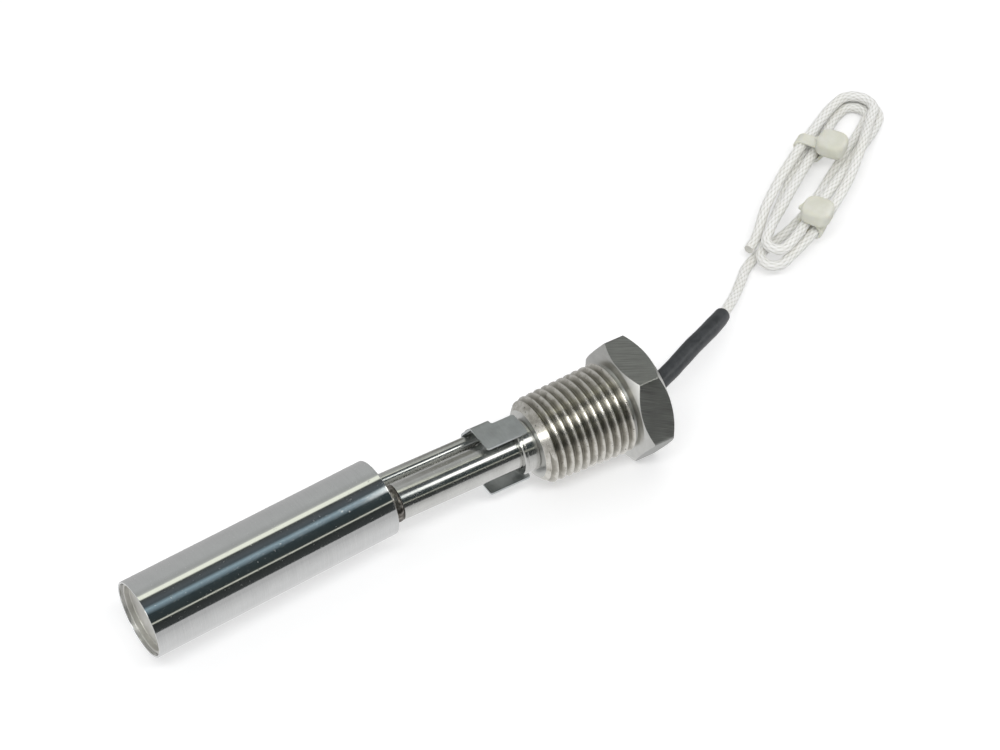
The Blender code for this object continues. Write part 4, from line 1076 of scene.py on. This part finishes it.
def make_world(level):
    world = bpy.data.worlds.new("studio")
    scene.world = world
    world.use_nodes = True
    world.cycles.sampling_method = "NONE"
    tree = world.node_tree
    tree.nodes.clear()
    soft = tree.nodes.new("ShaderNodeBackground")
    soft.inputs["Color"].default_value = (0.985, 0.99, 1.0, 1.0)
    soft.inputs["Strength"].default_value = level
    white = tree.nodes.new("ShaderNodeBackground")
    white.inputs["Color"].default_value = (1.0, 1.0, 1.0, 1.0)
    white.inputs["Strength"].default_value = 1.0
    mix = tree.nodes.new("ShaderNodeMixShader")
    output = tree.nodes.new("ShaderNodeOutputWorld")
    tree.links.new(ray_share(tree), mix.inputs["Fac"])
    tree.links.new(soft.outputs[0], mix.inputs[1])
    tree.links.new(white.outputs[0], mix.inputs[2])
    tree.links.new(mix.outputs[0], output.inputs["Surface"])


def make_floor(lift, far_lift):
    """A pale floor that fades to the white background far from the switch."""
    mesh = bpy.data.meshes.new("floor")
    reach = 6.0
    corners = [(-reach, -reach, 0), (reach, -reach, 0), (reach, reach, 0), (-reach, reach, 0)]
    mesh.from_pydata(corners, [], [(0, 1, 2, 3)])
    floor = bpy.data.objects.new("floor", mesh)
    floor.location = (0, 0, -0.05 * MM)
    scene.collection.objects.link(floor)
    look = bpy.data.materials.new("pale_floor")
    look.use_nodes = True
    tree = look.node_tree
    tree.nodes.clear()
    matte = tree.nodes.new("ShaderNodeBsdfDiffuse")
    matte.inputs["Color"].default_value = (0.76, 0.76, 0.76, 1.0)
    glow = tree.nodes.new("ShaderNodeEmission")
    spot = tree.nodes.new("ShaderNodeTexCoord")
    away = tree.nodes.new("ShaderNodeVectorMath")
    away.operation = "LENGTH"
    tree.links.new(spot.outputs["Object"], away.inputs[0])
    fade = tree.nodes.new("ShaderNodeMapRange")
    fade.inputs["From Min"].default_value = 0.25
    fade.inputs["From Max"].default_value = 1.2
    fade.inputs["To Min"].default_value = lift
    fade.inputs["To Max"].default_value = far_lift
    tree.links.new(away.outputs["Value"], fade.inputs["Value"])
    tree.links.new(join_values(tree, "MULTIPLY", ray_share(tree), fade.outputs["Result"]), glow.inputs["Strength"])
    both = tree.nodes.new("ShaderNodeAddShader")
    output = tree.nodes.new("ShaderNodeOutputMaterial")
    tree.links.new(matte.outputs[0], both.inputs[0])
    tree.links.new(glow.outputs[0], both.inputs[1])
    tree.links.new(both.outputs[0], output.inputs["Surface"])
    mesh.materials.append(look)


def make_lamp(name, place, size, power, colour):
    data = bpy.data.lights.new(name, "AREA")
    data.shape = "RECTANGLE"
    data.size, data.size_y = size
    data.energy = power
    data.color = colour
    lamp = bpy.data.objects.new(name, data)
    scene.collection.objects.link(lamp)
    lamp.location = place
    lamp.rotation_euler = (Vector((0.03, 0.02, 0.01)) - Vector(place)).to_track_quat("-Z", "Y").to_euler()
    lamp.visible_camera = False
    lamp.visible_glossy = False


# What polished steel sees round it, by the angle from straight up towards the camera's side
ROOM_BANDS = [
    (-100, (0.50, 0.50, 0.50)),
    (-45, (0.50, 0.51, 0.505)),
    (-30, (0.43, 0.44, 0.43)),
    (-24, (0.50, 0.51, 0.49)),
    (-21, (1.10, 1.13, 0.98)),
    (-12, (1.10, 1.13, 0.98)),
    (-9, (0.07, 0.075, 0.075)),
    (6, (0.10, 0.115, 0.125)),
    (13, (0.08, 0.10, 0.11)),
    (21, (0.32, 0.44, 0.50)),
    (28, (0.20, 0.27, 0.31)),
    (36, (0.035, 0.05, 0.055)),
    (59.5, (0.035, 0.045, 0.045)),
    (61, (0.75, 0.76, 0.66)),
    (63, (0.75, 0.76, 0.66)),
    (64.5, (0.03, 0.034, 0.033)),
    (90.7, (0.055, 0.06, 0.06)),
]

# Cards in front of those bands: the stretch along X, the radius, the angles, and the level across them.
# The near ones reach the stem and the plug, and not the float.
WINDOW = [(0.0, (0.1, 0.11, 0.12)), (0.3, (2.7, 2.7, 2.6)), (0.7, (2.7, 2.7, 2.6)), (1.0, (0.05, 0.06, 0.06))]
SHADE = [(0.0, (0.48, 0.49, 0.47)), (0.9, (0.30, 0.31, 0.30)), (1.0, (0.7, 0.7, 0.66))]
DIM = [(0.0, (0.26, 0.26, 0.24)), (0.6, (0.21, 0.21, 0.19)), (1.0, (0.28, 0.28, 0.26))]
END = [
    (0.0, (0.46, 0.46, 0.45)),
    (0.5, (0.42, 0.42, 0.41)),
    (0.575, (0.34, 0.34, 0.33)),
    (0.61, (4.2, 4.2, 4.0)),
    (0.69, (4.2, 4.2, 4.0)),
    (0.74, (0.20, 0.20, 0.19)),
    (0.85, (0.28, 0.28, 0.27)),
    (1.0, (0.50, 0.50, 0.49)),
]
ROOM_CARDS = [
    ((0.040, 0.5), 0.12, (12, 34), WINDOW),
    ((0.040, 0.5), 0.12, (-24, -13), SHADE),
    ((0.040, 0.5), 0.12, (-95, -52), DIM),
    ((-0.85, -0.33), 0.94, (12, 34), WINDOW),
    ((0.75, 4.0), 0.94, (-100, 95), END),
    ((-4.0, -0.85), 0.94, (-100, 95), END),
]


ROOM_RADIUS = 0.95


def room_card(name, x_range, angles, radius, looks):
    """A card bent round the studio's X axis, which only mirror-like surfaces show."""
    count = 96
    points, faces, places = [], [], []
    for k in range(count + 1):
        share = k / count
        angle = math.radians(angles[0] + (angles[1] - angles[0]) * share)
        for x in x_range:
            points.append((x, -radius * math.sin(angle), AXIS_HEIGHT + radius * math.cos(angle)))
            places.append(share)
    for k in range(count):
        faces.append((2 * k, 2 * k + 1, 2 * k + 3, 2 * k + 2))
    mesh = bpy.data.meshes.new(name)
    mesh.from_pydata(points, [], faces)
    set_values(mesh, "height", places)
    stage_card(name, mesh, looks)


def stage_card(name, mesh, stops):
    card = bpy.data.objects.new(name, mesh)
    scene.collection.objects.link(card)
    look = bpy.data.materials.new(name)
    look.use_nodes = True
    tree = look.node_tree
    tree.nodes.clear()
    glow = tree.nodes.new("ShaderNodeEmission")
    output = tree.nodes.new("ShaderNodeOutputMaterial")
    tree.links.new(ramp_of(tree, attribute_of(tree, "height"), stops), glow.inputs["Color"])
    tree.links.new(glow.outputs[0], output.inputs["Surface"])
    mesh.materials.append(look)
    card.visible_camera = False
    card.visible_diffuse = False
    card.visible_transmission = False
    card.visible_volume_scatter = False
    card.visible_shadow = False


def flat_card(name, corners, levels):
    """A flat card whose grey level goes from its first two corners to its last two."""
    mesh = bpy.data.meshes.new(name)
    mesh.from_pydata(corners, [], [(0, 1, 3, 2)])
    set_values(mesh, "height", [0.0, 0.0, 1.0, 1.0])
    stage_card(name, mesh, [(share, (level, level, level)) for share, level in levels])


def make_room(x_range):
    low, high = ROOM_BANDS[0][0], ROOM_BANDS[-1][0]
    stops = [((angle - low) / (high - low), colour) for angle, colour in ROOM_BANDS]
    room_card("room_bands", x_range, (low, high), ROOM_RADIUS, stops)
    for k, (stretch, radius, angles, stops) in enumerate(ROOM_CARDS):
        room_card("room_card_%d" % k, stretch, angles, radius, stops)
    behind = [(x, y, 0.3 * MM) for y in (22.0 * MM, ROOM_RADIUS) for x in x_range]
    flat_card("room_behind", behind, [(0.0, 0.5), (1.0, 0.5)])
    before = [(x, y, 0.3 * MM) for y in (22.0 * MM, -ROOM_RADIUS) for x in x_range]
    flat_card("room_before", before, [(0.0, 0.80), (0.041, 0.78), (0.0586, 0.68), (0.10, 0.56), (1.0, 0.52)])
    flat_card("room_end", [(-1.4, y, z) for z in (0.06, 0.36) for y in (-0.3, 0.3)], [(0.0, 2.4), (1.0, 2.4)])


def make_camera():
    data = bpy.data.cameras.new("camera")
    data.sensor_width = 36.0
    data.lens = 93.6
    data.clip_start, data.clip_end = 0.01, 50.0
    camera = bpy.data.objects.new("camera", data)
    scene.collection.objects.link(camera)
    camera.location = (-0.16552, -0.3276, 0.4555)
    camera.rotation_euler = (math.radians(90 - 47.6), 0.0, math.radians(-30.3))
    scene.camera = camera


def dress_hidden_nodes():
    """Materials for the CAD nodes that stay as they are: what is inside the stem and the float."""
    glass = plain_look("reed_glass", (0.55, 0.68, 0.60), (0.66, 0.76, 0.70), 0.08, 0.0, 600, 0.01 * MM,
                       Transmission_Weight=0.7)
    contact = plain_look("contact_metal", (0.58, 0.52, 0.38), (0.74, 0.68, 0.52), 0.28, 1.0, 900, 0.01 * MM)
    plastic = plain_look("insulator", (0.76, 0.74, 0.67), (0.84, 0.82, 0.76), 0.5, 0.0, 500, 0.02 * MM)
    cover = plain_look("wire_cover", (0.70, 0.69, 0.66), (0.80, 0.79, 0.76), 0.5, 0.0, 700, 0.02 * MM)
    magnet = plain_look("magnet", (0.12, 0.12, 0.125), (0.20, 0.20, 0.21), 0.5, 0.7, 800, 0.03 * MM)
    looks = {
        "reed_glass": glass, "reed_blade_a": contact, "reed_blade_b": contact, "reed_jumper": contact,
        "splice_a": contact, "splice_b": contact, "reed_sleeve": plastic, "magnet_holder": plastic,
        "lead_wire_a": cover, "lead_wire_b": cover, "float_magnet": magnet,
    }
    for name, look in looks.items():
        for entry in nodes[name].material_slots:
            entry.material = look


def main():
    make_camera()
    plan = hank_plan()
    cable, line, length = make_cable(plan, braid_look())
    sleeve = make_sleeve(sleeve_look())
    nylon = nylon_look()
    upper_head = (TIE_UPPER_HEAD_SHARE, TIE_UPPER_HEAD_DROP, math.radians(-25))
    lower_head = (TIE_LOWER_HEAD_SHARE, TIE_LOWER_HEAD_DROP, math.radians(-20))
    ties = make_tie("tie_upper", "cable_tie_upper", plan, TIE_UPPER_AT + 2.0 * MM, True, *upper_head, nylon)
    ties += make_tie("tie_lower", "cable_tie_lower", plan, TIE_LOWER_AT, False, *lower_head, nylon)

    satin = turned_look("plug_satin", (0.70, 0.70, 0.68), (0.60, 0.60, 0.58), 0.36, 0.06, 0.01 * MM, 0.2, 0.0)
    polish = turned_look("stem_polish", (0.72, 0.72, 0.70), (0.64, 0.64, 0.62), 0.2, 0.04, 0.002 * MM, 0.2, 0.8)
    mirror = turned_look("float_mirror", (0.74, 0.745, 0.745), (0.71, 0.715, 0.715), 0.11, 0.02, 0.0009 * MM, 0.18, 0.85)
    cap_steel = turned_look("cap_steel", (0.72, 0.71, 0.68), (0.66, 0.65, 0.62), 0.5, 0.05, 0.004 * MM, 0.2, 0.0)
    weld = weld_look()
    make_plug(thread_look(), milled_look(), satin)
    make_potting(plain_look("potting_resin", (0.045, 0.045, 0.047), (0.075, 0.075, 0.075), 0.4, 0.0, 500, 0.04 * MM))
    make_stem(polish, weld)
    make_pivot(polish)
    make_bracket(sheet_look())
    make_arm(polish, weld)
    make_float(mirror, cap_steel)
    dress_hidden_nodes()

    make_world(0.58)
    make_floor(0.36, 0.64)
    make_room((-1.1, 1.7))
    make_lamp("key", (-0.1, -0.32, 0.72), (0.7, 0.12), 2.7, (1.0, 1.0, 1.0))
    make_lamp("fill", (0.5, 0.45, 0.6), (0.5, 0.5), 0.7, (1.0, 0.99, 0.97))
    scene.view_settings.view_transform = "Standard"


main()
